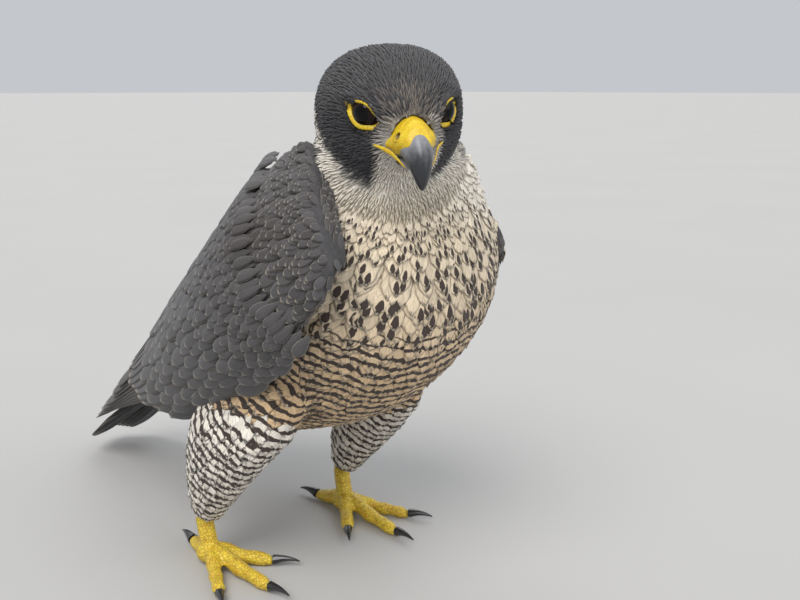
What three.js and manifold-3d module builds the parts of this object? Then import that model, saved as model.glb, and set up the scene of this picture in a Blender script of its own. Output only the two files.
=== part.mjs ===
// A life-size peregrine falcon, an adult female, standing with the body sloped
// forward-up, both wings folded and the head turned to its own right.
// Millimetres, +Z up. The bird faces -Y and its left side is +X.
// Inside this file Y is 0 at the middle of the head and Z is 0 on the floor;
// the finished group is centred on its footprint at the end.

import * as THREE from "three";
import Module from "manifold-3d";
import { mergeVertices } from "three/addons/utils/BufferGeometryUtils.js";

const wasm = await Module();
wasm.setup();

const gap = 0.3; // space kept between touching pieces
const { lerp, degToRad, clamp } = THREE.MathUtils;
const V = (x, y, z) => new THREE.Vector3(x, y, z);

// Driving sizes

const headAt = V(-12, 0, 234.6);
const headTurn = -29; // degrees about Z, towards the bird's right
const headNod = 10; // degrees, bill down
const headTip = 1.5; // degrees, the left side of the head higher

// The trunk's side outline: back and front are [y, z] on the midline. The
// weight is on the left leg's side, so the left half is fuller: left and right
// are the two half widths.
const trunkStations = [
  { name: "neck top", back: [31, 238], front: [-17, 212], left: 38, right: 33 },
  { name: "collar", back: [43, 226], front: [-14, 190], left: 59, right: 44 },
  { name: "shoulder", back: [66, 206], front: [-16, 165], left: 77, right: 53 },
  { name: "breast", back: [96, 186], front: [-15, 138], left: 86, right: 57 },
  { name: "middle", back: [124, 162], front: [-2, 112], left: 83, right: 56 },
  { name: "belly", back: [152, 137], front: [26, 88], left: 70, right: 51 },
  { name: "loin", back: [178, 113], front: [74, 70], left: 46, right: 42 },
  { name: "vent", back: [199, 94], front: [126, 58], left: 31, right: 30 },
  { name: "tail root", back: [217, 78], front: [172, 50], left: 20, right: 20 },
];
const neckEnd = 1.5; // station number at which the neck becomes the torso

// The head, from the nape to the root of the bill, in the head's own frame.
const headStations = [
  { name: "nape end", y: 39, top: -2, bottom: -14, half: 8 },
  { name: "nape", y: 35, top: 10, bottom: -24, half: 20 },
  { name: "back of the head", y: 26, top: 22, bottom: -29, half: 29 },
  { name: "ear", y: 12, top: 28.5, bottom: -30, half: 32.2 },
  { name: "cheek", y: -2, top: 29, bottom: -29, half: 31.5 },
  { name: "eye", y: -14, top: 25, bottom: -25.5, half: 25.5 },
  { name: "forehead", y: -23, top: 17.5, bottom: -20.5, half: 18 },
  { name: "lores", y: -29.5, top: 10, bottom: -16, half: 12 },
  { name: "bill root", y: -33, top: 3.5, bottom: -12.5, half: 9 },
];
const eye = { x: 13.9, y: -16.2, z: 5, radius: 7.7, opening: 4.9, turnOut: 44 };
const bill = { rootY: -31, length: 17, drop: 20.5, half: 7.4, deep: 8.4 };
const headSquareness = 0.82; // below 1 the crown and cheeks are squarer than an oval

// The folded right wing's outer face runs from the bend of the wing to its tip
// between an upper edge, a bulge and a lower edge.
const wingUpper = [
  [-36, 30, 226], [-31, 64, 212], [-27, 98, 186], [-23, 134, 157],
  [-18, 176, 124], [-13, 220, 89], [-8, 262, 56], [-11, 301, 24],
];
// The left wing lies a little further out, back and down, behind the breast.
const leftWingShift = V(5, 16, -6);
const wingBulge = [
  [-61, -8, 193], [-69, 30, 177], [-68, 68, 151], [-61, 106, 125],
  [-50, 150, 98], [-37, 203, 72], [-22, 257, 46], [-13, 301, 22],
];
const wingLower = [
  [-61, -17, 168], [-64, 4, 145], [-61, 38, 122], [-55, 84, 99],
  [-46, 134, 78], [-36, 192, 57], [-23, 252, 38], [-13, 301, 20],
];
const wingThickFront = 24;
const wingThickRear = 3.2;
const wingCoreDepth = 1.6; // how far the arm lies under the tips of its feathers
const wingCoreEnd = 0.6; // share of the wing's length that is arm and coverts

const tail = { rootY: 196, rootZ: 78, tipY: 303, tipZ: 14, thick: 0.5, step: 0.82 };

const legX = 47;
const ankle = V(-48, 107, 34);
const footAt = V(-legX, 104, 9);
const toes = [
  { name: "inner", turn: 38, length: 34, root: 4.6, tip: 3.4, pads: 2 },
  { name: "middle", turn: 4, length: 48, root: 4.6, tip: 3.3, pads: 3 },
  { name: "outer", turn: -27, length: 40, root: 4.3, tip: 3.1, pads: 4 },
  { name: "hind", turn: 172, length: 22, root: 4.8, tip: 3.6, pads: 1 },
];
const claw = { length: 15, root: 2.9, tip: 0.45, bend: 62 };

// Helpers

function solid(geometry) {
  const plain = new THREE.BufferGeometry();
  plain.setAttribute("position", geometry.getAttribute("position").clone());
  if (geometry.index) plain.setIndex(geometry.index.clone());
  const merged = mergeVertices(plain, 1e-4);
  const make = (triVerts) =>
    new wasm.Manifold(
      new wasm.Mesh({
        numProp: 3,
        vertProperties: new Float32Array(merged.attributes.position.array),
        triVerts,
      }),
    );
  const faces = new Uint32Array(merged.index.array);
  const made = make(faces);
  if (made.volume() > 0) return made;
  for (let i = 0; i < faces.length; i += 3) {
    [faces[i + 1], faces[i + 2]] = [faces[i + 2], faces[i + 1]];
  }
  return make(faces);
}

// Keeps only the largest closed surface.
function largest(body) {
  const pieces = body.decompose();
  return pieces.reduce((a, b) => (a.volume() > b.volume() ? a : b));
}

function union(bodies) {
  return bodies.reduce((a, b) => a.add(b));
}

function geometryOf(body) {
  const mesh = body.getMesh();
  const points = new Float32Array(mesh.numVert * 3);
  for (let i = 0; i < mesh.numVert; i++) {
    const from = i * mesh.numProp;
    points.set(mesh.vertProperties.subarray(from, from + 3), i * 3);
  }
  const geometry = new THREE.BufferGeometry();
  geometry.setAttribute("position", new THREE.BufferAttribute(points, 3));
  geometry.setIndex(new THREE.BufferAttribute(new Uint32Array(mesh.triVerts), 1));
  geometry.computeVertexNormals();
  return geometry;
}

// A smooth curve through the numbers in values, read at place (0 to last).
function smooth(values, place) {
  const last = values.length - 1;
  const i = clamp(Math.floor(place), 0, last - 1);
  const t = place - i;
  const p0 = values[Math.max(i - 1, 0)];
  const p1 = values[i];
  const p2 = values[i + 1];
  const p3 = values[Math.min(i + 2, last)];
  const m1 = (p2 - p0) / 2;
  const m2 = (p3 - p1) / 2;
  const a = 2 * p1 - 2 * p2 + m1 + m2;
  const b = -3 * p1 + 3 * p2 - 2 * m1 - m2;
  return ((a * t + b) * t + m1) * t + p1;
}

// A closed body of rings: section(v) gives its middle and a ring by angle.
function loft(section, sides, steps) {
  const tube = new THREE.CylinderGeometry(1, 1, 1, sides, steps);
  const at = tube.getAttribute("position");
  for (let i = 0; i < at.count; i++) {
    const { middle, ring } = section(0.5 - at.getY(i));
    const out = Math.hypot(at.getX(i), at.getZ(i));
    const angle = Math.atan2(at.getX(i), at.getZ(i));
    const p = out < 0.5 ? middle : ring(angle);
    at.setXYZ(i, p.x, p.y, p.z);
  }
  return solid(tube);
}

// A round tube along a three.js curve, its radius given by share of length.
function tube(curve, radius, sides, steps) {
  const frames = curve.computeFrenetFrames(steps, false);
  return loft(
    (v) => {
      const i = Math.round(v * steps);
      const middle = curve.getPointAt(clamp(v, 0, 1));
      const ring = (angle) =>
        middle
          .clone()
          .addScaledVector(frames.normals[i], Math.cos(angle) * radius(v))
          .addScaledVector(frames.binormals[i], Math.sin(angle) * radius(v));
      return { middle, ring };
    },
    sides,
    steps,
  );
}

// A thin closed plate from a grid of points. at(i, j, side) gives one point, and
// both faces are split along the same diagonals, so they never cross.
function plate(rows, columns, at) {
  const points = [];
  for (const side of [1, -1]) {
    for (let i = 0; i <= rows; i++) {
      for (let j = 0; j <= columns; j++) {
        points.push(...at(i / rows, j / columns, side).toArray());
      }
    }
  }
  const wide = columns + 1;
  const under = (rows + 1) * wide;
  const faces = [];
  const quad = (a, b, c, d) => faces.push(a, b, c, a, c, d);
  for (let i = 0; i < rows; i++) {
    for (let j = 0; j < columns; j++) {
      const a = i * wide + j;
      quad(a, a + 1, a + 1 + wide, a + wide);
      faces.push(a + under, a + 1 + wide + under, a + 1 + under);
      faces.push(a + under, a + wide + under, a + 1 + wide + under);
    }
    const left = i * wide;
    const right = left + columns;
    quad(left + under, left, left + wide, left + wide + under);
    quad(right, right + under, right + wide + under, right + wide);
  }
  for (let j = 0; j < columns; j++) {
    const far = rows * wide + j;
    quad(j + under, j + 1 + under, j + 1, j);
    quad(far, far + 1, far + 1 + under, far + under);
  }
  const geometry = new THREE.BufferGeometry();
  geometry.setAttribute("position", new THREE.Float32BufferAttribute(points, 3));
  geometry.setIndex(faces);
  return solid(geometry);
}

// Moves a body by a three.js matrix.
function placed(body, matrix) {
  return solid(geometryOf(body).applyMatrix4(matrix));
}

const mirror = new THREE.Matrix4().makeScale(-1, 1, 1);

// Trunk: torso and neck are two lengths of one loft

function trunkSection(place, grow) {
  const read = (pick) => smooth(trunkStations.map(pick), place);
  const back = V(0, read((s) => s.back[0]), read((s) => s.back[1]));
  const front = V(0, read((s) => s.front[0]), read((s) => s.front[1]));
  const middle = back.clone().add(front).multiplyScalar(0.5);
  const deep = back.clone().sub(middle);
  deep.setLength(deep.length() + grow);
  const left = read((s) => s.left) + grow;
  const right = read((s) => s.right) + grow;
  const ring = (angle) => {
    const fuller = clamp(0.35 - 1.2 * Math.cos(angle), 0, 1);
    const half = angle > 0 ? lerp(right, left, fuller) : right;
    return middle
      .clone()
      .addScaledVector(deep, Math.cos(angle))
      .add(V(half * Math.sin(angle), 0, 0));
  };
  return { middle, ring };
}

function trunk(from, to, steps, grow = 0) {
  return loft((v) => trunkSection(lerp(from, to, v), grow), 26, steps);
}

const stationStep = 26; // about one station's length along the trunk
const lastStation = trunkStations.length - 1;
const torso = trunk(neckEnd + gap / stationStep, lastStation, 17);
const torsoSpace = trunk(neckEnd - 0.05, lastStation + 0.0001, 17, gap);

// Head, in its own frame: forward is -Y

function squared(value) {
  return Math.sign(value) * Math.abs(value) ** headSquareness;
}

function headSection(place, grow) {
  const read = (pick) => smooth(headStations.map(pick), place);
  const y = read((s) => s.y);
  const top = read((s) => s.top) + grow;
  const bottom = read((s) => s.bottom) - grow;
  const half = read((s) => s.half) + grow;
  const middle = V(0, y, (top + bottom) / 2);
  const ring = (angle) => {
    const p = V(
      half * squared(Math.sin(angle)) * (1 - 0.03 * Math.cos(angle)),
      y,
      middle.z + ((top - bottom) / 2) * squared(Math.cos(angle)),
    );
    return grow > 0 ? p : browed(p, middle);
  };
  return { middle, ring };
}

// Raises the bony brow over each eye and hollows the eye's own place.
function browed(p, middle) {
  const near = (x, y, z, reach) =>
    Math.exp(-V(Math.abs(p.x) - x, p.y - y, p.z - z).lengthSq() / reach ** 2);
  const brow = 2.6 * near(eye.x + 4, eye.y - 3, eye.z + 9.5, 6.5);
  const hollow = 2.6 * near(eye.x + 4.5, eye.y - 5, eye.z - 1, 7);
  const away = p.clone().sub(middle).setX(p.x * 1.4).normalize();
  return p.addScaledVector(away, brow - hollow);
}

function headLoft(grow = 0) {
  const last = headStations.length - 1;
  return loft((v) => headSection(v * last, grow), 26, 18);
}

const headMatrix = new THREE.Matrix4()
  .makeTranslation(headAt)
  .multiply(new THREE.Matrix4().makeRotationZ(degToRad(headTurn)))
  .multiply(new THREE.Matrix4().makeRotationY(degToRad(-headTip)))
  .multiply(new THREE.Matrix4().makeRotationX(degToRad(headNod)));

// The eye looks out and forward. side is 1 on the bird's left, -1 on its right.
function eyeMatrix(side) {
  return new THREE.Matrix4()
    .makeTranslation(side * eye.x, eye.y, eye.z)
    .multiply(new THREE.Matrix4().makeRotationZ(degToRad(180 + side * eye.turnOut)));
}

// A ball whose pole faces the eye's own way, +Y before eyeMatrix turns it.
function eyeBall(grow = 0) {
  return solid(new THREE.SphereGeometry(eye.radius + grow, 16, 9));
}

// The bare ring of lids round the eye, a lathe about the eye's axis drawn out a
// little towards the corners of the eye.
function lidRing(grow = 0) {
  const front = Math.sqrt(eye.radius ** 2 - eye.opening ** 2);
  const profile = [
    [eye.opening - grow, front - 2],
    [eye.opening + 2 + grow, front - 3 - grow],
    [eye.opening + 2.2 + grow, front - 1],
    [eye.opening + 1.5 + grow, front + 0.5 + grow],
    [eye.opening + 0.6, front + 1 + grow],
    [eye.opening - grow, front + 0.7 + grow],
    [eye.opening - grow, front - 2],
  ].map(([out, along]) => new THREE.Vector2(out, along));
  return solid(new THREE.LatheGeometry(profile, 14).scale(1.12, 1, 0.9));
}

// The bill's upper half: a hooked, tapering horn that bends down.
function billCurve() {
  return new THREE.CatmullRomCurve3([
    V(0, bill.rootY + 3, -3.6),
    V(0, bill.rootY - 3.8, -4.6),
    V(0, bill.rootY - 9.4, -7.6),
    V(0, bill.rootY - bill.length + 3.2, -13),
    V(0, bill.rootY - bill.length + 1.2, -bill.drop),
  ]);
}

function billUpper(from, to, steps, grow = 0) {
  const curve = billCurve();
  return loft(
    (v) => {
      const share = lerp(from, to, v);
      const middle = curve.getPointAt(share);
      const along = curve.getTangentAt(share);
      const up = V(1, 0, 0).cross(along).normalize();
      if (up.z < 0) up.negate();
      const narrow = Math.max(1 - share ** 1.6, 0) ** 0.65 + 0.04;
      const half = bill.half * narrow * (1 - 0.12 * share) + grow;
      const deep = bill.deep * (narrow * 0.92 - 0.02) + 0.35 + grow;
      const ring = (angle) => {
        const x = Math.sin(angle) * half;
        const z = Math.max(Math.cos(angle), -0.55) * deep; // flat underneath
        return middle.clone().add(V(x, 0, 0)).addScaledVector(up, z);
      };
      return { middle, ring };
    },
    16,
    steps,
  );
}

const cereShare = 0.3; // share of the bill's length under the fleshy cere

function cereBody() {
  const sleeve = billUpper(0, cereShare, 5, 0.9);
  const nostrils = [1, -1].map((side) => {
    const bore = new THREE.CylinderGeometry(1.3, 1.3, 5, 8);
    bore.rotateX(degToRad(25));
    bore.rotateZ(degToRad(-side * 62));
    bore.translate(side * (bill.half - 1.2), bill.rootY - 4.4, -0.3);
    return solid(bore);
  });
  return nostrils.reduce((body, bore) => body.subtract(bore), sleeve);
}

// The bill's lower half is a short scoop, closed against the upper one.
function billLower(grow = 0) {
  return loft(
    (v) => {
      const half = lerp(7, 3, v ** 1.5) + grow;
      const y = lerp(bill.rootY + 6, bill.rootY - 10, v);
      const middle = V(0, y, lerp(-11, -14, v));
      const deep = lerp(3, 1.5, v) + grow;
      const ring = (angle) =>
        middle.clone().add(V(Math.sin(angle) * half, 0, Math.cos(angle) * deep));
      return { middle, ring };
    },
    14,
    5,
  );
}

// The line of the mouth: a thin slot back from the bill to under the eye.
function mouthLine() {
  const slot = new THREE.BoxGeometry(32, 13, 0.7);
  slot.rotateX(degToRad(-7));
  slot.translate(0, bill.rootY + 4.5, -8.2);
  return solid(slot);
}

function headParts() {
  const upperSpace = billUpper(0, 0.9, 10, gap);
  const cereSpace = billUpper(0, cereShare, 5, 0.9 + gap);
  const lowerSpace = billLower(gap);
  let skull = headLoft().subtract(mouthLine());
  const parts = {};
  for (const [side, word] of [[1, "left"], [-1, "right"]]) {
    const matrix = eyeMatrix(side);
    const ballSpace = placed(eyeBall(gap), matrix);
    skull = skull.subtract(ballSpace).subtract(placed(lidRing(gap), matrix));
    parts[`eye_${word}`] = placed(eyeBall(), matrix);
    parts[`eyelids_${word}`] = largest(placed(lidRing(), matrix).subtract(ballSpace));
  }
  const cerePlain = cereBody();
  const horn = billUpper(cereShare + 0.012, 1, 12);
  parts.bill_upper = largest(horn);
  parts.bill_lower = largest(billLower().subtract(cereSpace).subtract(upperSpace));
  parts.cere = largest(cerePlain);
  parts.head = largest(
    skull.subtract(cereSpace).subtract(upperSpace).subtract(lowerSpace),
  );
  return parts;
}

// Wings

const curveOf = (rows) => new THREE.CatmullRomCurve3(rows.map((p) => V(...p)));
const upperEdge = curveOf(wingUpper);
const bulge = curveOf(wingBulge);
const lowerEdge = curveOf(wingLower);

// A point on the right wing's outer face: along is 0 at the bend and 1 at the
// tip, across is 0 on the upper edge and 1 on the lower.
function wingPoint(along, across) {
  const a = clamp(along, 0, 1);
  const b = across;
  return upperEdge
    .getPoint(a)
    .multiplyScalar((1 - b) * (1 - 2 * b))
    .addScaledVector(bulge.getPoint(a), 4 * b * (1 - b))
    .addScaledVector(lowerEdge.getPoint(a), b * (2 * b - 1));
}

function wingNormal(along, across) {
  const step = 0.01;
  const a = clamp(along, step, 1 - step);
  const lengthways = wingPoint(a + step, across).sub(wingPoint(a - step, across));
  const sideways = wingPoint(a, across + step).sub(wingPoint(a, across - step));
  return lengthways.cross(sideways).normalize();
}

function wingWidth(along) {
  return wingPoint(along, 0).distanceTo(wingPoint(along, 0.5)) * 2;
}

// The arm and its small coverts, a plate hugging the body.
function wingCore(grow = 0) {
  const edge = grow / 60;
  return plate(11, 7, (u, w, side) => {
    const a = lerp(0, wingCoreEnd + edge, u);
    const b = lerp(-edge, 1 + edge, w);
    const thick = lerp(wingThickFront, wingThickRear, Math.sqrt(u));
    const round = 0.25 + 0.75 * Math.sin(Math.PI * clamp(w, 0.02, 0.98)) ** 0.6;
    const start = clamp(u * 5 + 0.3, 0, 1);
    const depth = side > 0 ? grow : -thick * round * start - grow;
    return wingPoint(a, b).addScaledVector(wingNormal(a, b), depth - wingCoreDepth);
  });
}

// One vane lying on the wing: root and tip are [along, across]. It rises from
// inside the arm to its own level, tilted so that the vane above laps over it.
function wingVane({ root, tip, half, level, tilt, arch = 0 }) {
  return plate(3, 2, (step, w, side) => {
    const u = 1 - (1 - step) ** 1.6;
    const a = lerp(root[0], tip[0], u);
    const wide = half * (step > 0.99 ? 0.4 : 0.75 + 0.25 * Math.sin(Math.PI * u));
    const shift = (w - 0.5) * 2 * wide;
    const b = lerp(root[1], tip[1], u) + shift / wingWidth(Math.min(a, 0.9));
    const free = Math.min(u * 2.2, 1);
    const lift = lerp(-3.2, level, Math.min(u * 1.4, 1)) + tilt * (w - 0.5) * free;
    const thick = lerp(0.9, 0.55, free) / 2;
    const depth = lift + arch * u * u + side * thick;
    return wingPoint(a, b).addScaledVector(wingNormal(a, b), depth);
  });
}

// Rows of coverts and long feathers. from and to place the roots of the first
// and last vane of the row, as [along, across].
const wingRows = [
  { name: "scapulars", count: 3, from: [0.19, 0.02], to: [0.2, 0.27], long: 0.16, half: 8, level: 3.9 },
  { name: "long scapulars", count: 3, from: [0.32, 0.02], to: [0.32, 0.26], long: 0.2, half: 8, level: 3 },
  { name: "median coverts", count: 5, from: [0.21, 0.4], to: [0.15, 0.95], long: 0.14, half: 9, level: 3.4 },
  { name: "greater coverts", count: 5, from: [0.33, 0.37], to: [0.26, 0.95], long: 0.16, half: 9, level: 2.4 },
  { name: "secondaries", count: 5, from: [0.46, 0.12], to: [0.39, 0.9], long: 0.25, half: 9.5, level: 1.5 },
];
const primaries = { count: 7, root: 0.5, first: 0.76, last: 1, half: 6, step: 0.9 };

function wingRow({ count, from, to, long, half, level }) {
  return Array.from({ length: count }, (_, i) => {
    const share = i / (count - 1);
    const root = [lerp(from[0], to[0], share), lerp(from[1], to[1], share)];
    const vary = 1 + 0.06 * Math.sin(i * 2.3);
    const tip = [root[0] + long * vary, root[1] + 0.01];
    return wingVane({ root, tip, half, level, tilt: 2.1 });
  });
}

// The primaries fold into one another: each longer one lies a step lower.
function primaryVanes() {
  return Array.from({ length: primaries.count }, (_, i) => {
    const share = i / (primaries.count - 1);
    return wingVane({
      root: [primaries.root, lerp(0.3, 0.84, share)],
      tip: [lerp(primaries.first, primaries.last, share ** 0.8), lerp(0.4, 0.6, share)],
      half: primaries.half,
      level: 0.2 - i * primaries.step,
      tilt: 0.3,
      arch: 3.2,
    });
  });
}

function rightWing() {
  return union([wingCore(), ...wingRows.flatMap(wingRow), ...primaryVanes()]);
}

// Tail: a plug of rump and twelve folded feathers

function tailPoint(along, across) {
  const y = lerp(tail.rootY, tail.tipY, along);
  const z = lerp(tail.rootZ, tail.tipZ, along) + 5 * Math.sin(Math.PI * along) * 0.4;
  return V(across, y, z);
}

// The middle pair lies on top; each next one lies a step lower and further out.
function tailVane(rank) {
  const side = rank % 2 ? 1 : -1;
  const pair = Math.floor(rank / 2);
  return plate(4, 2, (u, w, face) => {
    const spread = side * lerp(1 + pair * 1.2, 1.8 + pair * 2.5, u);
    const half = lerp(5, 8.4, u) * (u > 0.99 ? 0.55 : 1);
    const along = u * (1 - 0.014 * pair);
    const level = -rank * tail.step * lerp(0.4, 1, Math.min(u * 3, 1));
    const across = spread + (w - 0.5) * 2 * half;
    return tailPoint(along, across).add(V(0, 0, level + (face * tail.thick) / 2));
  });
}

function tailBody() {
  const plug = loft(
    (v) => {
      const middle = tailPoint(lerp(-0.02, 0.16, v), 0).add(V(0, 0, -3));
      const wide = lerp(15, 10, v);
      const deep = lerp(8, 5, v);
      const ring = (angle) =>
        middle.clone().add(V(Math.sin(angle) * wide, 0, Math.cos(angle) * deep));
      return { middle, ring };
    },
    14,
    2,
  );
  return union([plug, ...Array.from({ length: 12 }, (_, rank) => tailVane(rank))]);
}

// Legs

const thighStations = [
  { x: -37, y: 62, z: 118, long: 36, wide: 14 },
  { x: -42, y: 68, z: 97, long: 34, wide: 17 },
  { x: -48, y: 79, z: 77, long: 28, wide: 17 },
  { x: -49, y: 91, z: 56, long: 21, wide: 14 },
  { x: -48, y: 101, z: 37, long: 13, wide: 10.5 },
  { x: -47, y: 105, z: 26, long: 8, wide: 7 },
];

function thighBody(grow = 0) {
  const last = thighStations.length - 1;
  return loft(
    (v) => {
      const read = (key) => smooth(thighStations.map((s) => s[key]), v * last);
      const middle = V(read("x"), read("y"), read("z"));
      const ring = (angle) =>
        middle
          .clone()
          .add(V(Math.sin(angle) * (read("wide") + grow), 0, 0))
          .addScaledVector(V(0, 0.96, 0.28), Math.cos(angle) * (read("long") + grow));
      return { middle, ring };
    },
    18,
    8,
  );
}

function tarsusBody() {
  const curve = new THREE.CatmullRomCurve3([
    ankle.clone().add(V(0, 2, 8)),
    ankle,
    ankle.clone().lerp(footAt, 0.5).add(V(0, 1.5, 0)),
    footAt,
  ]);
  const scutes = 9;
  return tube(
    curve,
    (v) => lerp(5.2, 4.7, v) + 0.25 * Math.cos(v * scutes * 2 * Math.PI),
    8,
    16,
  );
}

const floorCut = solid(new THREE.BoxGeometry(400, 500, 40).translate(0, 60, -20));
const sunk = 0.7; // how far each toe's pads press flat on the floor

function toePath({ turn, length, root, tip }) {
  const way = V(Math.sin(degToRad(turn)), -Math.cos(degToRad(turn)), 0);
  const at = (share, height) =>
    V(footAt.x, footAt.y, height).addScaledVector(way, share * length);
  return new THREE.CatmullRomCurve3([
    at(0, root + 2.4),
    at(0.22, root + 2.6),
    at(0.5, root + 0.7 - sunk),
    at(0.78, tip + 1.2 - sunk),
    at(1, tip - sunk),
  ]);
}

function toeBody(toe) {
  return tube(
    toePath(toe),
    (v) => {
      const end = v > 0.99 ? 0.72 : 1;
      const pad = 0.35 * Math.cos(v * toe.pads * 2 * Math.PI);
      return (lerp(toe.root, toe.tip, v) - pad) * end;
    },
    8,
    8,
  );
}

function clawCurve(toe) {
  const path = toePath(toe);
  const end = path.getPointAt(1);
  const way = path.getTangentAt(1).setZ(0).normalize();
  const bend = degToRad(claw.bend);
  const radius = claw.length / bend;
  const points = [0, 0.33, 0.67, 1].map((share) => {
    const angle = lerp(-0.55, bend - 0.55, share);
    const out = radius * (Math.sin(angle) + Math.sin(0.55));
    const down = radius * (Math.cos(0.55) - Math.cos(angle));
    return end.clone().addScaledVector(way, out + gap).add(V(0, 0, 0.9 - down * 0.55));
  });
  return new THREE.CatmullRomCurve3(points);
}

function clawBody(toe) {
  const size = toe.name === "hind" ? 1.12 : 1;
  return tube(clawCurve(toe), (v) => lerp(claw.root * size, claw.tip, v ** 0.85), 7, 5);
}

function footBody() {
  const palm = new THREE.SphereGeometry(1, 12, 7);
  palm.scale(7.6, 8.4, 6.4);
  palm.translate(footAt.x, footAt.y, 6);
  return union([solid(palm), ...toes.map(toeBody)]).subtract(floorCut);
}

function footSpace() {
  const palm = new THREE.SphereGeometry(1, 12, 7);
  palm.scale(7.6 + gap, 8.4 + gap, 6.4 + gap);
  palm.translate(footAt.x, footAt.y, 6);
  const grown = toes.map(({ root, tip, length, ...rest }) =>
    toeBody({ ...rest, root: root + gap, tip: tip + gap, length: length + gap }),
  );
  return union([solid(palm), ...grown]);
}

// Assembly

const slate = { color: 0x5b5d63, roughness: 0.8 };
const paint = {
  wing: slate,
  tail: slate,
  head: { color: 0x44464b, roughness: 0.85 },
  neck: { color: 0xd9cdb8, roughness: 0.85 },
  torso: { color: 0xcdb793, roughness: 0.85 },
  thigh: { color: 0xd8d2c4, roughness: 0.85 },
  eye: { color: 0x0c0a0a, roughness: 0.05 },
  eyelids: { color: 0xe8c21c, roughness: 0.5 },
  cere: { color: 0xe8c21c, roughness: 0.5 },
  bill: { color: 0x4a4f58, roughness: 0.3 },
  tarsus: { color: 0xd8b020, roughness: 0.6 },
  foot: { color: 0xd8b020, roughness: 0.6 },
  claw: { color: 0x17171a, roughness: 0.25 },
};

const bird = new THREE.Group();
const headGroup = new THREE.Group();
headGroup.applyMatrix4(headMatrix);
bird.add(headGroup);

function addPiece(parent, name, body) {
  const finish = paint[name.split("_")[0]];
  const material = new THREE.MeshStandardMaterial({ ...finish, metalness: 0 });
  const mesh = new THREE.Mesh(geometryOf(body), material);
  mesh.name = name;
  parent.add(mesh);
  return mesh;
}

const headPieces = headParts();
for (const [name, body] of Object.entries(headPieces)) {
  addPiece(headGroup, name, body);
}

const headSpace = placed(headLoft(gap), headMatrix);
const billSpace = placed(billLower(gap), headMatrix);
addPiece(
  bird,
  "neck",
  largest(trunk(0, neckEnd, 4).subtract(headSpace).subtract(billSpace)),
);
addPiece(bird, "torso", torso);

const neckSpace = trunk(0, neckEnd + 0.05, 4, gap);
const bodySpace = union([torsoSpace, neckSpace, headSpace]);
const wholeWing = rightWing();
const noTurn = new THREE.Matrix4();
const leftMatrix = new THREE.Matrix4().makeTranslation(leftWingShift).multiply(mirror);

// Fits a wing and the thigh under it to the trunk and to each other.
function addWingAndThigh(word, wingMatrix, thighMatrix) {
  const core = placed(wingCore(), wingMatrix);
  const coreSpace = placed(wingCore(gap), wingMatrix);
  const thighSpace = placed(thighBody(gap), thighMatrix).subtract(core);
  const wing = placed(wholeWing, wingMatrix).subtract(bodySpace).subtract(thighSpace);
  const thigh = placed(thighBody(), thighMatrix).subtract(torsoSpace).subtract(coreSpace);
  addPiece(bird, `wing_${word}`, largest(wing));
  addPiece(bird, `thigh_${word}`, largest(thigh));
}

addWingAndThigh("right", noTurn, noTurn);
addWingAndThigh("left", leftMatrix, mirror);

const toeSpace = footSpace();
const tarsus = largest(tarsusBody().subtract(toeSpace).subtract(thighBody(gap)));
const foot = largest(footBody());

const pairs = { tarsus, foot };
for (const toe of toes) {
  const nail = clawBody(toe).subtract(toeSpace).subtract(floorCut);
  pairs[`claw_${toe.name}`] = largest(nail);
}
for (const [name, body] of Object.entries(pairs)) {
  addPiece(bird, `${name}_right`, body);
  addPiece(bird, `${name}_left`, placed(body, mirror));
}

addPiece(bird, "tail", largest(tailBody().subtract(torsoSpace)));

// The origin is under the middle of the bird's box, on the floor.
const box = new THREE.Box3().setFromObject(bird, true);
bird.position.set(-(box.min.x + box.max.x) / 2, -(box.min.y + box.max.y) / 2, -box.min.z);

export default bird;
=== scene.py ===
import math

import bmesh
import bpy
import numpy as np
from mathutils import Matrix, Vector
from mathutils.bvhtree import BVHTree


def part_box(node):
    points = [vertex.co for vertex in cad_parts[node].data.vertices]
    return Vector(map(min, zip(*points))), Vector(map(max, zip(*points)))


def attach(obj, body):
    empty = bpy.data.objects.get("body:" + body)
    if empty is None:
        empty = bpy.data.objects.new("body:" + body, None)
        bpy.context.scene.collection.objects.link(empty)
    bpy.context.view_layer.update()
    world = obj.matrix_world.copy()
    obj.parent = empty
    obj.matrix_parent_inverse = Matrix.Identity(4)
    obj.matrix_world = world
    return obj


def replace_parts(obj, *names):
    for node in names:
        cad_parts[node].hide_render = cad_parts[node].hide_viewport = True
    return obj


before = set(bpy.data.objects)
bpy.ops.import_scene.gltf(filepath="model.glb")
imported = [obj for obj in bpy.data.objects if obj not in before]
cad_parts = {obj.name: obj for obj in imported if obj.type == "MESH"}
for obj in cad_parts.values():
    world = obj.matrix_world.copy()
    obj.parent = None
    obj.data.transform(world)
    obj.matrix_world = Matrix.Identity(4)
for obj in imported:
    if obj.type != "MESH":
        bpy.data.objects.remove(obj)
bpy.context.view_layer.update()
print("frame loaded")

# Sizes are in millimetres in the bird's own frame: +X is its left, -Y is forward,
# Z is the height above the floor and Y is 0 at the middle of the head.
pose = {
    "headAt": (-12, 0, 234.6),
    "headTurn": -29,
    "headTip": 1.5,
    "headNod": 10,
    "tailTipY": 303,
    "leftWingShift": (5, 16, -6),
}


def nodeMiddle(name):
    low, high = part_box(name)
    return (low + high) / 2


shift = np.array([
    (nodeMiddle("foot_left").x + nodeMiddle("foot_right").x) / 2,
    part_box("tail")[1].y - pose["tailTipY"] / 1000,
    0,
])
headTurns = (
    Matrix.Rotation(math.radians(pose["headTurn"]), 3, "Z")
    @ Matrix.Rotation(math.radians(-pose["headTip"]), 3, "Y")
    @ Matrix.Rotation(math.radians(pose["headNod"]), 3, "X")
)
headAxes = np.array(headTurns)


def toBird(points):
    return (points - shift) * 1000


def fromBird(points):
    return np.asarray(points, float) / 1000 + shift


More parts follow.
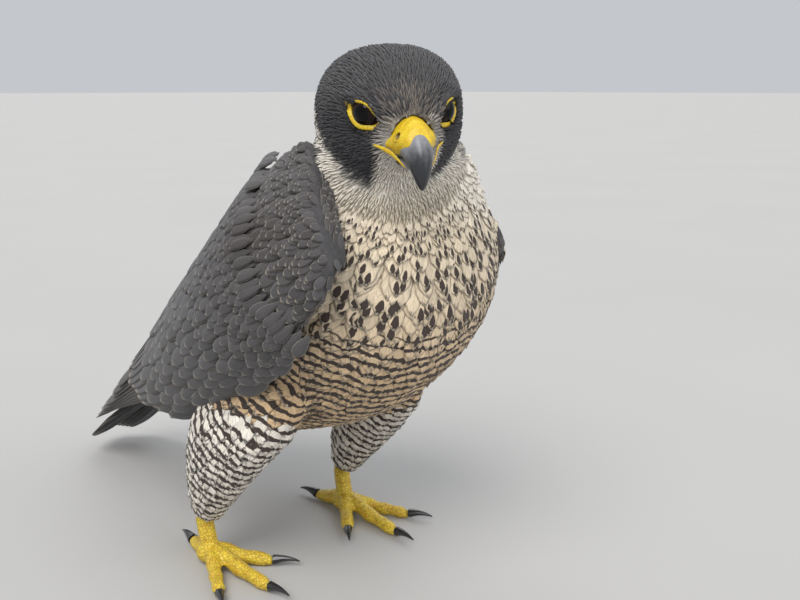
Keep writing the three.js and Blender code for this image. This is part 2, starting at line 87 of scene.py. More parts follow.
def toHead(points):
    return (points - np.array(pose["headAt"])) @ headAxes


def fromHead(points):
    return np.asarray(points, float) @ headAxes.T + np.array(pose["headAt"])


def step(low, high, x):
    t = np.clip((x - low) / (high - low), 0, 1)
    return t * t * (3 - 2 * t)


def mix(a, b, t):
    return a + (b - a) * t


def unit(vectors):
    return vectors / np.maximum(np.linalg.norm(vectors, axis=-1, keepdims=True), 1e-9)


def onTangent(vectors, normals):
    return unit(vectors - normals * (vectors * normals).sum(-1, keepdims=True))


# A smooth curve through a few points, read at t from 0 to 1 and straight past its ends.
def curveAt(points, t):
    points = np.asarray(points, float)
    t = np.asarray(t, float)
    last = len(points) - 1
    inside = np.clip(t, 0, 1)
    place = inside * last
    i = np.clip(np.floor(place).astype(int), 0, last - 1)
    f = (place - i)[..., None]
    p0 = points[np.maximum(i - 1, 0)]
    p1 = points[i]
    p2 = points[i + 1]
    p3 = points[np.minimum(i + 2, last)]
    m1 = (p2 - p0) / 2
    m2 = (p3 - p1) / 2
    value = ((2 * p1 - 2 * p2 + m1 + m2) * f + (-3 * p1 + 3 * p2 - 2 * m1 - m2)) * f
    value = (value + m1) * f + p1
    slope = np.where((t > 0.5)[..., None], points[-1] - points[-2], points[1] - points[0]) * last
    return value + slope * (t - inside)[..., None]


# Meshes

def addPiece(name, mesh, material, smooth=True):
    piece = bpy.data.objects.new(name, mesh)
    bpy.context.scene.collection.objects.link(piece)
    mesh.polygons.foreach_set("use_smooth", [smooth] * len(mesh.polygons))
    mesh.materials.clear()
    mesh.materials.append(material)
    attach(piece, "root")
    return piece


def meshFromBmesh(name, bm):
    mesh = bpy.data.meshes.new(name)
    bm.to_mesh(mesh)
    bm.free()
    return mesh


# A closed body bent from a sheet: shape(u, v) gives bird-frame points, u runs round
# it from 0 to 1 and v along it.
def bentSheet(name, around, along, shape):
    bm = bmesh.new()
    bmesh.ops.create_grid(bm, x_segments=around, y_segments=along, size=0.5)
    flat = np.array([v.co for v in bm.verts])
    placed = fromBird(shape(flat[:, 0] + 0.5, flat[:, 1] + 0.5))
    for vert, co in zip(bm.verts, placed):
        vert.co = co
    bmesh.ops.remove_doubles(bm, verts=bm.verts, dist=2e-6)
    bmesh.ops.holes_fill(bm, edges=[e for e in bm.edges if e.is_boundary], sides=0)
    bmesh.ops.recalc_face_normals(bm, faces=bm.faces)
    return meshFromBmesh(name, bm)


def joinedNodes(names):
    bm = bmesh.new()
    for name in names:
        bm.from_mesh(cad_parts[name].data)
    bmesh.ops.remove_doubles(bm, verts=bm.verts, dist=1e-6)
    return bm


# One smooth skin over several solids: swollen to close the thin cuts between them,
# remeshed, smoothed and shrunk again.
def smoothShell(name, nodes, voxel, swell, rounds, extra=None):
    joined = joinedNodes(nodes)
    if extra:
        joined.from_mesh(extra)
    mesh = meshFromBmesh(name, joined)
    helper = bpy.data.objects.new(name, mesh)
    bpy.context.scene.collection.objects.link(helper)
    grow = helper.modifiers.new("swell", "DISPLACE")
    grow.strength = swell
    grow.mid_level = 0
    remesh = helper.modifiers.new("remesh", "REMESH")
    remesh.mode = "VOXEL"
    remesh.voxel_size = voxel
    soften = helper.modifiers.new("soften", "SMOOTH")
    soften.iterations = rounds
    soften.factor = 0.5
    shrink = helper.modifiers.new("shrink", "DISPLACE")
    shrink.strength = -swell
    shrink.mid_level = 0
    graph = bpy.context.evaluated_depsgraph_get()
    result = bpy.data.meshes.new_from_object(helper.evaluated_get(graph))
    bpy.data.objects.remove(helper)
    bpy.data.meshes.remove(mesh)
    result.name = name
    return result


def meshArrays(mesh):
    points = np.zeros(len(mesh.vertices) * 3)
    normals = np.zeros(len(mesh.vertices) * 3)
    mesh.vertices.foreach_get("co", points)
    mesh.vertices.foreach_get("normal", normals)
    return points.reshape(-1, 3), normals.reshape(-1, 3)


# Materials

def newMaterial(name, roughness, **sockets):
    material = bpy.data.materials.new(name)
    material.use_nodes = True
    shader = material.node_tree.nodes["Principled BSDF"]
    shader.inputs["Roughness"].default_value = roughness
    for socket, value in sockets.items():
        shader.inputs[socket.replace("_", " ")].default_value = value
    return material, material.node_tree, shader


def mathNode(tree, operation, *values, clamp=False):
    node = tree.nodes.new("ShaderNodeMath")
    node.operation = operation
    node.use_clamp = clamp
    for socket, value in zip(node.inputs, values):
        if isinstance(value, (int, float)):
            socket.default_value = value
        else:
            tree.links.new(value, socket)
    return node.outputs[0]


def rampNode(tree, value, low, high, start=0.0, end=1.0):
    node = tree.nodes.new("ShaderNodeMapRange")
    node.interpolation_type = "SMOOTHSTEP"
    tree.links.new(value, node.inputs["Value"])
    node.inputs["From Min"].default_value = low
    node.inputs["From Max"].default_value = high
    node.inputs["To Min"].default_value = start
    node.inputs["To Max"].default_value = end
    return node.outputs["Result"]


def mixColours(tree, share, first, second, blend="MIX"):
    node = tree.nodes.new("ShaderNodeMix")
    node.data_type = "RGBA"
    node.blend_type = blend
    for key, value in (("Factor", share), ("A", first), ("B", second)):
        socket = node.inputs[key]
        if isinstance(value, (int, float)):
            socket.default_value = value
        elif isinstance(value, tuple):
            socket.default_value = (*value, 1)
        else:
            tree.links.new(value, socket)
    return node.outputs["Result"]


def attributeNode(tree, name):
    node = tree.nodes.new("ShaderNodeAttribute")
    node.attribute_name = name
    return node


def noiseNode(tree, vector, scale, detail=2.0, roughness=0.5):
    node = tree.nodes.new("ShaderNodeTexNoise")
    node.inputs["Scale"].default_value = scale
    node.inputs["Detail"].default_value = detail
    node.inputs["Roughness"].default_value = roughness
    if vector is not None:
        tree.links.new(vector, node.inputs["Vector"])
    return node.outputs["Fac"]


def addBump(tree, shader, height, strength, distance):
    bump = tree.nodes.new("ShaderNodeBump")
    bump.inputs["Strength"].default_value = strength
    bump.inputs["Distance"].default_value = distance
    tree.links.new(height, bump.inputs["Height"])
    tree.links.new(bump.outputs["Normal"], shader.inputs["Normal"])


def newGroup(name, inputs, outputs):
    group = bpy.data.node_groups.new(name, "ShaderNodeTree")
    for socket, default in inputs:
        made = group.interface.new_socket(
            name=socket, in_out="INPUT", socket_type="NodeSocketFloat"
        )
        made.default_value = default
    for socket in outputs:
        group.interface.new_socket(name=socket, in_out="OUTPUT", socket_type="NodeSocketFloat")
    enter = group.nodes.new("NodeGroupInput")
    leave = group.nodes.new("NodeGroupOutput")
    return group, enter, leave


# The fine streaks of the barbs, slanting out and forward from a feather's shaft.
def makeBarbGroup():
    group, enter, leave = newGroup(
        "barbs", [("Across", 0), ("Along", 0), ("Chance", 0), ("Count", 12)], ["Streak"]
    )
    away = mathNode(group, "ABSOLUTE", enter.outputs["Across"])
    slant = mathNode(group, "MULTIPLY", away, 0.32)
    run = mathNode(group, "SUBTRACT", enter.outputs["Along"], slant)
    run = mathNode(group, "MULTIPLY", run, enter.outputs["Count"])
    combine = group.nodes.new("ShaderNodeCombineXYZ")
    group.links.new(run, combine.inputs["X"])
    side = mathNode(group, "SIGN", enter.outputs["Across"])
    group.links.new(mathNode(group, "MULTIPLY", side, 3.0), combine.inputs["Y"])
    group.links.new(mathNode(group, "MULTIPLY", enter.outputs["Chance"], 97.0), combine.inputs["Z"])
    streak = noiseNode(group, combine.outputs["Vector"], 1.0, 3.0, 0.6)
    group.links.new(streak, leave.inputs["Streak"])
    return group


barbGroup = makeBarbGroup()


def barbs(tree, across, along, chance, count):
    node = tree.nodes.new("ShaderNodeGroup")
    node.node_tree = barbGroup
    tree.links.new(across, node.inputs["Across"])
    tree.links.new(along, node.inputs["Along"])
    tree.links.new(chance, node.inputs["Chance"])
    node.inputs["Count"].default_value = count
    return node.outputs["Streak"]


# One plumage for every coat: each feather carries its ground colour, the colour of
# its marks and of its edge, and how large its spot, bars and edge are.
def makePlumage(name, count, roughness=0.8):
    material, tree, shader = newMaterial(
        name, roughness, Sheen_Weight=0.12, Specular_IOR_Level=0.25
    )
    plume = attributeNode(tree, "plume")
    split = tree.nodes.new("ShaderNodeSeparateXYZ")
    tree.links.new(plume.outputs["Vector"], split.inputs[0])
    across, along, chance = split.outputs
    pattern = tree.nodes.new("ShaderNodeSeparateXYZ")
    tree.links.new(attributeNode(tree, "pattern").outputs["Vector"], pattern.inputs[0])
    spotSize, barShare, edgeWidth = pattern.outputs
    ground = attributeNode(tree, "ground").outputs["Color"]
    mark = attributeNode(tree, "mark").outputs["Color"]
    edge = attributeNode(tree, "edge").outputs["Color"]
    streak = barbs(tree, across, along, chance, count)
    away = mathNode(tree, "ABSOLUTE", across)

    # a drop-shaped spot near the tip, with a ragged rim
    wobble = mathNode(tree, "MULTIPLY_ADD", streak, 0.3, -0.15)
    down = mathNode(tree, "MULTIPLY", mathNode(tree, "SUBTRACT", along, 0.85), 2.9)
    wide = mathNode(tree, "MULTIPLY", away, rampNode(tree, along, 0.70, 0.90, 1.6, 1.0))
    reach = mathNode(tree, "SQRT", mathNode(
        tree, "ADD", mathNode(tree, "POWER", wide, 2.0), mathNode(tree, "POWER", down, 2.0)
    ))
    reach = mathNode(tree, "ADD", reach, wobble)
    inside = mathNode(tree, "SUBTRACT", spotSize, reach)
    spot = rampNode(tree, inside, -0.06, 0.06)

    # dark bars across the feather, bent towards the tip at the shaft
    level = attributeNode(tree, "level").outputs["Fac"]
    coords = tree.nodes.new("ShaderNodeTexCoord").outputs["Object"]
    drift = noiseNode(tree, coords, 70.0, 2.0)
    place = mathNode(tree, "MULTIPLY_ADD", away, -0.9, level)
    place = mathNode(tree, "MULTIPLY_ADD", drift, 9.0, place)
    place = mathNode(tree, "MULTIPLY_ADD", chance, 1.1, place)
    place = mathNode(tree, "ADD", place, wobble)
    wave = mathNode(tree, "SINE", mathNode(tree, "MULTIPLY", place, 2 * math.pi / 5.2))
    wave = mathNode(tree, "ADD", wave, mathNode(tree, "MULTIPLY_ADD", barShare, 1.6, -1.0))
    bar = rampNode(tree, wave, -0.22, 0.22)
    bar = mathNode(tree, "MULTIPLY", bar, rampNode(tree, barShare, 0.02, 0.08))
    marks = mathNode(tree, "MAXIMUM", spot, bar)
    colour = mixColours(tree, marks, ground, mark)

    # the pale edge, and the shaft
    sides = mathNode(tree, "POWER", away, 1.6)
    rim = mathNode(tree, "MAXIMUM", sides, rampNode(tree, along, 0.72, 1.0))
    rim = mathNode(tree, "ADD", rim, mathNode(tree, "ADD", edgeWidth, -1.0))
    rim = mathNode(tree, "ADD", rim, mathNode(tree, "MULTIPLY", wobble, 0.3))
    rim = rampNode(tree, rim, -0.03, 0.05)
    rim = mathNode(tree, "MULTIPLY", rim, rampNode(tree, edgeWidth, 0.01, 0.05))
    colour = mixColours(tree, rim, colour, edge)
    shaft = rampNode(tree, away, 0.035, 0.1, 0.12, 0.0)
    colour = mixColours(tree, shaft, colour, mark)
    shade = rampNode(tree, streak, 0.25, 0.75, 0.72, 1.2)
    dark = tree.nodes.new("ShaderNodeVectorMath")
    dark.operation = "SCALE"
    tree.links.new(colour, dark.inputs[0])
    tree.links.new(shade, dark.inputs["Scale"])
    tree.links.new(dark.outputs["Vector"], shader.inputs["Base Color"])
    addBump(tree, shader, streak, 0.35, 0.0006)
    return material


# Feathers

# The grid of one feather: where each point lies across (-1 to 1) and along (0 to 1)
# it, and the triangles of its arched top and flat underside.
def featherGrid(rows, columns, outline, notch, seed):
    rng = np.random.default_rng(seed)
    wide = columns + 1
    along = np.repeat(1 - (1 - np.arange(rows + 1) / rows) ** 1.25, wide)
    across = np.tile(np.linspace(-1, 1, wide), rows + 1)
    half = outline(along)
    rim = (np.abs(across) > 0.99) & (along > 0.25)
    saw = np.where(np.repeat(np.arange(rows + 1), wide) % 2 == 0, 1.0, -1.0)
    half = half * np.where(rim, 1 + notch * saw + rng.uniform(-notch, notch, len(half)), 1)
    tip = along > 0.999
    jag = np.where(np.tile(np.arange(wide), rows + 1) % 2 == 0, 0.5, -0.5) * notch
    lengthways = along + np.where(tip, jag + rng.uniform(-0.3, 0.3, len(half)) * notch, 0)
    triangles = []
    for j in range(rows):
        for k in range(columns):
            a = j * wide + k
            triangles += [(a, a + 1, a + wide + 1), (a, a + wide + 1, a + wide)]
        left, right = j * wide, j * wide + columns
        triangles += [(left, left + wide, right + wide), (left, right + wide, right)]
    for k in range(1, columns):
        triangles.append((0, k + 1, k))
        far = rows * wide
        triangles.append((far, far + k, far + k + 1))
    return {
        "across": across, "width": across * half, "along": lengthways,
        "triangles": np.array(triangles), "raised": np.clip(1 - across ** 2, 0, 1),
    }


def roundOutline(v):
    body = mix(0.3, 1.0, step(0.0, 0.5, v))
    return body * np.sqrt(np.clip(1 - (np.clip(v - 0.62, 0, 1) / 0.385) ** 2, 0.02, 1))


def longOutline(v):
    body = mix(0.55, 1.0, step(0.0, 0.45, v))
    return body * np.sqrt(np.clip(1 - (np.clip(v - 0.84, 0, 1) / 0.162) ** 2, 0.02, 1))


def tuftOutline(v):
    return mix(0.7, 1.0, step(0.0, 0.35, v)) * np.clip(1.08 - 0.85 * v ** 2.2, 0.1, 1)


# Lays one feather grid at each root. hug(points) returns the surface and its normal
# under bird-frame points; roots holds arrays with one entry for each feather.
def layFeathers(roots, grid, hug):
    n = len(roots["at"])
    along = grid["along"][None, :] * roots["length"][:, None]
    side = grid["width"][None, :] * roots["half"][:, None]
    side = side + roots["bend"][:, None] * grid["along"][None, :] ** 2
    points = (
        roots["at"][:, None, :]
        + roots["lie"][:, None, :] * along[..., None]
        + roots["out"][:, None, :] * side[..., None]
    )
    on, normal = hug(points.reshape(-1, 3))
    v = np.clip(grid["along"], 0, 1)[None, :]
    lift = mix(roots["low"][:, None], roots["high"][:, None], v ** roots["curl"][:, None])
    lift = lift + roots["camber"][:, None] * grid["raised"][None, :]
    lift = lift + roots["roll"][:, None] * grid["across"][None, :] * v
    points = (on + normal * lift.reshape(-1, 1)).reshape(n, -1, 3)
    return points


# How far down the body a point lies, in millimetres, for the bars of the coat.
def levelOf(points):
    return points @ np.array([0, 0.52, -0.85])


def coatMesh(name, batches):
    points, triangles, plume, colours, pattern, bake, level = [], [], [], {}, [], [], []
    start = 0
    for batch in batches:
        grid, roots, placed = batch
        n, m = placed.shape[:2]
        points.append(placed.reshape(-1, 3))
        offsets = start + np.arange(n)[:, None, None] * m
        triangles.append((grid["triangles"][None] + offsets).reshape(-1, 3))
        along = np.clip(grid["along"], 0, 1)
        plume.append(np.stack([
            np.tile(grid["across"], n), np.tile(along, n), np.repeat(roots["chance"], m)
        ], -1))
        pattern.append(np.repeat(roots["pattern"], m, 0))
        level.append(levelOf(placed.reshape(-1, 3)))
        for key in ("ground", "mark", "edge"):
            colours.setdefault(key, []).append(np.repeat(roots[key], m, 0))
        patch = np.stack([grid["across"] * 0.0015, (along - 0.5) * 0.003], -1)
        bake.append((roots["unwrap"][:, None, :] + patch[None]).reshape(-1, 2))
        start += n * m
    points = fromBird(np.concatenate(points))
    triangles = np.concatenate(triangles)
    mesh = bpy.data.meshes.new(name)
    mesh.vertices.add(len(points))
    mesh.vertices.foreach_set("co", points.ravel())
    mesh.loops.add(triangles.size)
    mesh.loops.foreach_set("vertex_index", triangles.ravel().astype(np.int32))
    mesh.polygons.add(len(triangles))
    mesh.polygons.foreach_set("loop_start", np.arange(0, triangles.size, 3, dtype=np.int32))
    mesh.update(calc_edges=True)
    for key, value in (("plume", np.concatenate(plume)), ("pattern", np.concatenate(pattern))):
        mesh.attributes.new(key, "FLOAT_VECTOR", "POINT").data.foreach_set("vector", value.ravel())
    mesh.attributes.new("level", "FLOAT", "POINT").data.foreach_set("value", np.concatenate(level))
    for key, value in colours.items():
        rgba = np.concatenate([np.concatenate(value), np.ones((len(points), 1))], 1)
        mesh.attributes.new(key, "FLOAT_COLOR", "POINT").data.foreach_set("color", rgba.ravel())
    uv = mesh.uv_layers.new(name="OFBake")
    uv.data.foreach_set("uv", np.concatenate(bake)[triangles.ravel()].ravel())
    print(name, "has", len(triangles), "triangles")
    return mesh


# The colours of the plumage, in linear light
colour = {
    "crown": (0.086, 0.083, 0.087),
    "cheek": (0.040, 0.040, 0.046),
    "fleck": (0.26, 0.22, 0.18),
    "lores": (0.42, 0.39, 0.35),
    "slate": (0.084, 0.081, 0.085),
    "slateEdge": (0.27, 0.24, 0.20),
    "slateMark": (0.030, 0.028, 0.029),
    "brown": (0.062, 0.050, 0.043),
    "cream": (0.70, 0.60, 0.45),
    "white": (0.84, 0.79, 0.70),
    "buff": (0.60, 0.42, 0.24),
    "bar": (0.052, 0.038, 0.032),
    "thigh": (0.74, 0.69, 0.61),
}
for key in colour:
    colour[key] = np.array(colour[key])


def blendColour(base, other, share):
    return base + (other - base) * np.asarray(share)[..., None]


# What grows at each place of the body: the colours and marks of a feather there.
def coatLook(points, normals, owner, chance):
    n = len(points)
    head = toHead(points)
    x, y, z = np.abs(head[:, 0]), head[:, 1], head[:, 2]
    height = points[:, 2]
    side = np.abs(points[:, 0])
    tiled = lambda key: np.tile(colour[key], (n, 1))

    # breast to belly: cream, then buff, then deeper buff on the flanks
    low = 1 - step(118, 185, height)
    ground = blendColour(tiled("white"), colour["cream"], 1 - step(186, 212, height))
    ground = blendColour(ground, colour["buff"], 0.1 + 0.85 * low)
    ground = blendColour(ground, colour["thigh"], step(90, 165, points[:, 1]))
    mark = tiled("bar")
    edge = blendColour(ground, colour["white"], 0.35)
    fewer = mix(0.66, 0.42, step(160, 205, height))
    flank = step(46, 60, side) * (1 - step(176, 196, height))
    barred = np.clip((1 - step(138, 160, height)) + flank, 0, 1)
    spotted = (1 - barred) * (1 - step(198, 214, height))
    spot = spotted * mix(0.66, 0.42, step(150, 204, height)) * (chance * 7.3 % 1 < fewer)
    bars = barred * mix(0.5, 0.7, step(40, 60, side))
    rim = np.full(n, 0.05)

    # thighs are paler with narrower bars
    thigh = owner == 3
    ground[thigh] = colour["thigh"]
    edge[thigh] = colour["white"]
    spot[thigh] = 0
    bars[thigh] = 0.46

    # mantle and back of the neck
    rear = step(0.2, 0.42, normals @ unit(np.array([0, 0.62, 0.78]))) * (owner != 3)
    ground = blendColour(ground, colour["slate"], rear)
    mark = blendColour(mark, colour["slateMark"], rear)
    edge = blendColour(edge, colour["slateEdge"], rear)
    spot *= rear < 0.5
    bars *= rear < 0.5
    rim = mix(rim, 0.14, rear)

    # the hood: crown and nape, and the dark cheek that runs down in front of a
    # pale patch on the side of the neck
    crown = np.where(y > 8, step(0, 4, z), step(-5, -1, z))
    cheek = step(9.5, 13, x) * (1 - step(4.5, 8.5, y - 0.92 * z)) * step(-29, -25, z)
    nape = step(27, 34, y) * step(-36, -28, z)
    lores = (1 - step(6, 12, np.linalg.norm(head - np.array([0, -31, -4]), axis=1) - 4)) * (z < 4)
    hood = np.clip(np.maximum(np.maximum(crown, cheek), nape), 0, 1)
    hood *= 1 - step(42, 54, np.linalg.norm(head, axis=1))
    near = 1 - step(8, 20, np.linalg.norm(head - np.array([0, -30, 4]), axis=1))
    flecked = (chance * 13.7 % 1) < mix(0.14, 0.6, near)
    dark = blendColour(tiled("cheek"), colour["crown"], step(-4, 12, z + 0.2 * y))
    dark = blendColour(dark, colour["fleck"], (0.1 + 0.5 * near) * flecked)
    speck = ((chance * 3.9 % 1) < 0.2 * step(8, 20, x)) & (owner == 0) & (y > -12)
    pale = blendColour(tiled("white") * 1.1, colour["cheek"], 0.8 * speck)
    isHead = (owner == 0)[:, None]
    ground = np.where(isHead, blendColour(pale, dark, hood), blendColour(ground, dark, hood))
    ground = blendColour(ground, colour["lores"], 0.8 * lores)
    mark = blendColour(mark, colour["slateMark"], hood)
    edge = np.where(isHead, ground, edge)
    spot *= (hood < 0.3) & (owner != 0)
    bars *= (hood < 0.3) & (owner != 0)
    shade = 0.88 + 0.24 * (chance[:, None] * 9.1 % 1)
    return {
        "ground": ground * shade, "mark": mark, "edge": edge,
        "pattern": np.stack([spot, bars, rim], -1),
    }


# The way the feathers point at each place.
def coatLie(points, normals, owner):
    down = np.tile((0, 0.74, -0.67), (len(points), 1))
    rear = step(140, 180, points[:, 1])[:, None]
    down = mix(down, np.array([0, 0.87, -0.5]), rear)
    down[owner == 3] = (-0.05, 0.22, -1)
    bill = fromHead(np.array([0, -38, -2]))
    back = unit(points - bill)
    fall = step(30, 60, np.linalg.norm(points - bill, axis=1))[:, None]
    back = unit(back + np.array([0, 0.1, -0.5]) * fall)
    share = 1 - step(34, 46, np.linalg.norm(toHead(points), axis=1))
    return onTangent(mix(down, back, share[:, None]), normals)


# Where each eye looks, and the opening of its lids

eyeSizes = {
    "radius": 7.7,
    "turnOut": 44,
    "openWide": 5.0,
    "openHigh": 4.1,
    "slant": 26,
    "lid": 0.85,
    "corner": 2.0,
}


def eyeFrame(side, word):
    centre = toBird(np.array(nodeMiddle(f"eye_{word}")))
    turn = math.radians(eyeSizes["turnOut"])
    axis = headAxes @ np.array([side * math.sin(turn), -math.cos(turn), 0])
    up = headAxes @ np.array([0, 0, 1.0])
    across = unit(np.cross(up, axis)) * -side  # towards the bill
    slant = math.radians(eyeSizes["slant"])
    return (
        centre, axis,
        across * math.cos(slant) - up * math.sin(slant),
        up * math.cos(slant) + across * math.sin(slant),
    )


# How far points lie from the middle of an eye's opening: 1 at the lids' outer edge.
def eyeReach(points):
    reach = np.full(len(points), 9.0)
    for side, word in ((1, "left"), (-1, "right")):
        centre, axis, across, up = eyeFrame(side, word)
        away = points - centre
        wide = (away @ across) / (eyeSizes["openWide"] + 1.6)
        high = (away @ up) / (eyeSizes["openHigh"] + 1.0)
        here = np.where(away @ axis > 0, np.sqrt(wide ** 2 + high ** 2), 9)
        reach = np.minimum(reach, here)
    return reach


# The skin under the whole coat

skinSizes = {"voxel": 0.0014, "swell": 0.0006, "depthBody": 2.6, "depthHead": 1.3}
brow = {
    "line": [(9.5, -29, 4), (12.5, -27.2, 6.8), (18, -22, 9.8), (23.7, -14.5, 11.5)],
    "rise": 2.8,
    "reach": 2.6,
}
fleshNodes = ["head", "neck", "torso", "thigh_left", "thigh_right"]
owners = [["head"], ["neck"], ["torso"], ["thigh_left", "thigh_right"]]


def nodeTree(names):
    bm = joinedNodes(names)
    tree = BVHTree.FromBMesh(bm)
    bm.free()
    return tree


ownerTrees = [nodeTree(names) for names in owners]


def ownerOf(points):
    world = fromBird(points)
    distance = np.array([
        [tree.find_nearest(p)[3] for p in world.tolist()] for tree in ownerTrees
    ])
    distance[3] += 0.0004
    return distance.argmin(0)


def makeSkinMesh():
    solids = fleshNodes + ["eyelids_left", "eyelids_right"]
    bridge = makeMantle()
    mesh = smoothShell("skin", solids, skinSizes["voxel"], skinSizes["swell"], 6, bridge)
    points, normals = meshArrays(mesh)
    bird = toBird(points)
    headShare = 1 - step(36, 48, np.linalg.norm(toHead(bird), axis=1))
    depth = mix(skinSizes["depthBody"], skinSizes["depthHead"], headShare)
    points -= normals * depth[:, None] / 1000
    head = toHead(bird)
    for side in (1, -1):
        line = curveAt([(side * a, b, c) for a, b, c in brow["line"]], np.linspace(0, 1, 40))
        away = head[:, None, :] - line[None]
        gap = np.linalg.norm(away, axis=2)
        rise = brow["rise"] * np.exp(-(gap.min(1) / brow["reach"]) ** 2)
        points += normals * rise[:, None] / 1000
    points -= normals * (1.4 * (1 - step(0.9, 1.3, eyeReach(bird))))[:, None] / 1000
    mesh.vertices.foreach_set("co", points.ravel())
    mesh.update()
    return mesh


# What feathers grow on and lie against: points, faces and a search tree
def makeSurface(meshes):
    points, normals, faces = [], [], []
    start = 0
    for mesh in meshes:
        p, n = meshArrays(mesh)
        points.append(p)
        normals.append(n)
        faces += [tuple(start + i for i in face.vertices) for face in mesh.polygons]
        start += len(p)
    points, normals = np.concatenate(points), np.concatenate(normals)
    corners = np.array([face[:3] for face in faces])
    areas = np.linalg.norm(np.cross(
        points[corners[:, 1]] - points[corners[:, 0]], points[corners[:, 2]] - points[corners[:, 0]]
    ), axis=1)
    areas *= np.array([1.0 if len(face) > 3 else 0.5 for face in faces])
    return {
        "points": points, "normals": normals, "corners": corners, "areas": areas,
        "tree": BVHTree.FromPolygons(points.tolist(), faces),
        "faceNormals": unit(np.array([normals[list(face)].mean(0) for face in faces])),
    }


def hugOn(surface):
    def hug(points):
        world = fromBird(points)
        on = np.empty_like(world)
        faces = np.empty(len(world), int)
        find = surface["tree"].find_nearest
        for i, p in enumerate(world.tolist()):
            found = find(p)
            on[i] = found[0]
            faces[i] = found[2]
        return toBird(on), surface["faceNormals"][faces]
    return hug


# Even random roots over a surface, kept spacing(points) apart.
def scatterRoots(surface, count, spacing, seed):
    rng = np.random.default_rng(seed)
    areas = surface["areas"]
    picked = rng.choice(len(areas), count, p=areas / areas.sum())
    weights = rng.dirichlet((1, 1, 1), count)
    corners = surface["points"][surface["corners"][picked]]
    points = toBird((corners * weights[..., None]).sum(1))
    normals = surface["faceNormals"][picked]
    gaps = spacing(points)
    cell = 2.0
    cells = {}
    keep = []
    keys = np.floor(points / cell).astype(int).tolist()
    for i, (key, p, gap) in enumerate(zip(keys, points.tolist(), gaps.tolist())):
        if gap <= 0:
            continue
        reach = range(-math.ceil(gap / cell), math.ceil(gap / cell) + 1)
        near = (
            cells.get((key[0] + a, key[1] + b, key[2] + c), ())
            for a in reach for b in reach for c in reach
        )
        if all(
            (p[0] - q[0]) ** 2 + (p[1] - q[1]) ** 2 + (p[2] - q[2]) ** 2 >= gap * gap
            for group in near for q in group
        ):
            cells.setdefault(tuple(key), []).append(p)
            keep.append(i)
    return points[keep], normals[keep], gaps[keep]


# The surface of a folded wing

wing = {
    "upper": [(-36, 30, 226), (-31, 64, 212), (-27, 98, 186), (-23, 134, 157),
              (-18, 176, 124), (-13, 220, 89), (-8, 262, 56), (-11, 301, 24)],
    "bulge": [(-61, -8, 193), (-69, 30, 177), (-68, 68, 151), (-61, 106, 125),
              (-50, 150, 98), (-37, 203, 72), (-22, 257, 46), (-13, 301, 22)],
    "lower": [(-61, -17, 168), (-64, 4, 145), (-61, 38, 122), (-55, 84, 99),
              (-46, 134, 78), (-36, 192, 57), (-23, 252, 38), (-13, 301, 20)],
    "coverDepth": 2.6,
    "thickFront": 22,
    "thickRear": 3,
    "coreEnd": 0.62,
    "rowsStart": 0.13,
    "firstRow": 5.0,
    "lastRow": 12.5,
    "rowsEnd": 0.47,
}


def wingPlace(side, along, across):
    a = np.asarray(along)
    b = np.asarray(across)[..., None]
    upper, bulge, lower = (curveAt(wing[key], a) for key in ("upper", "bulge", "lower"))
    place = upper * (1 - b) * (1 - 2 * b) + bulge * 4 * b * (1 - b) + lower * b * (2 * b - 1)
    if side > 0:
        place = place * np.array([-1, 1, 1]) + np.array(pose["leftWingShift"])
    return place


def wingSurface(side, along, across):
    inside = np.clip(along, 0.01, 0.99)
    place = wingPlace(side, along, across)
    lengthways = wingPlace(side, inside + 0.01, across) - wingPlace(side, inside - 0.01, across)
    sideways = wingPlace(side, inside, across + 0.01) - wingPlace(side, inside, across - 0.01)
    normal = unit(np.cross(lengthways, sideways)) * -side
    return place, normal


def wingWidth(along):
    a = np.minimum(along, 0.9)
    zero = np.zeros_like(a)
    return 2 * np.linalg.norm(wingPlace(-1, a, zero) - wingPlace(-1, a, zero + 0.5), axis=-1)


# The mantle bridges the two folded wings, a little below their upper edges.
mantle = {"start": 0.04, "end": 0.6, "arch": 4.0, "depth": 3.4, "drop": 3.0, "thick": 12.0}


def makeMantle():
    up = unit(np.array([0, 0.62, 0.78]))

    def shape(u, v):
        turn = u * 2
        across = np.where(turn < 1, turn, 2 - turn)
        along = mix(mantle["start"], mantle["end"], v)
        edge = np.full_like(along, 0.05)
        right = wingPlace(-1, along, edge)
        left = wingPlace(1, along - 0.055, edge)
        rise = mantle["arch"] * np.sin(math.pi * across) - mantle["depth"] - mantle["drop"] * v ** 3
        under = np.where(turn > 1, mantle["thick"] * np.sin(math.pi * across), 0)
        return mix(right, left, across[:, None]) + up * (rise - under)[:, None]

    return bentSheet("mantle", 65, 41, shape)


skinMesh = makeSkinMesh()
skinSurface = makeSurface([skinMesh])
print("skin has", len(skinMesh.polygons), "faces")


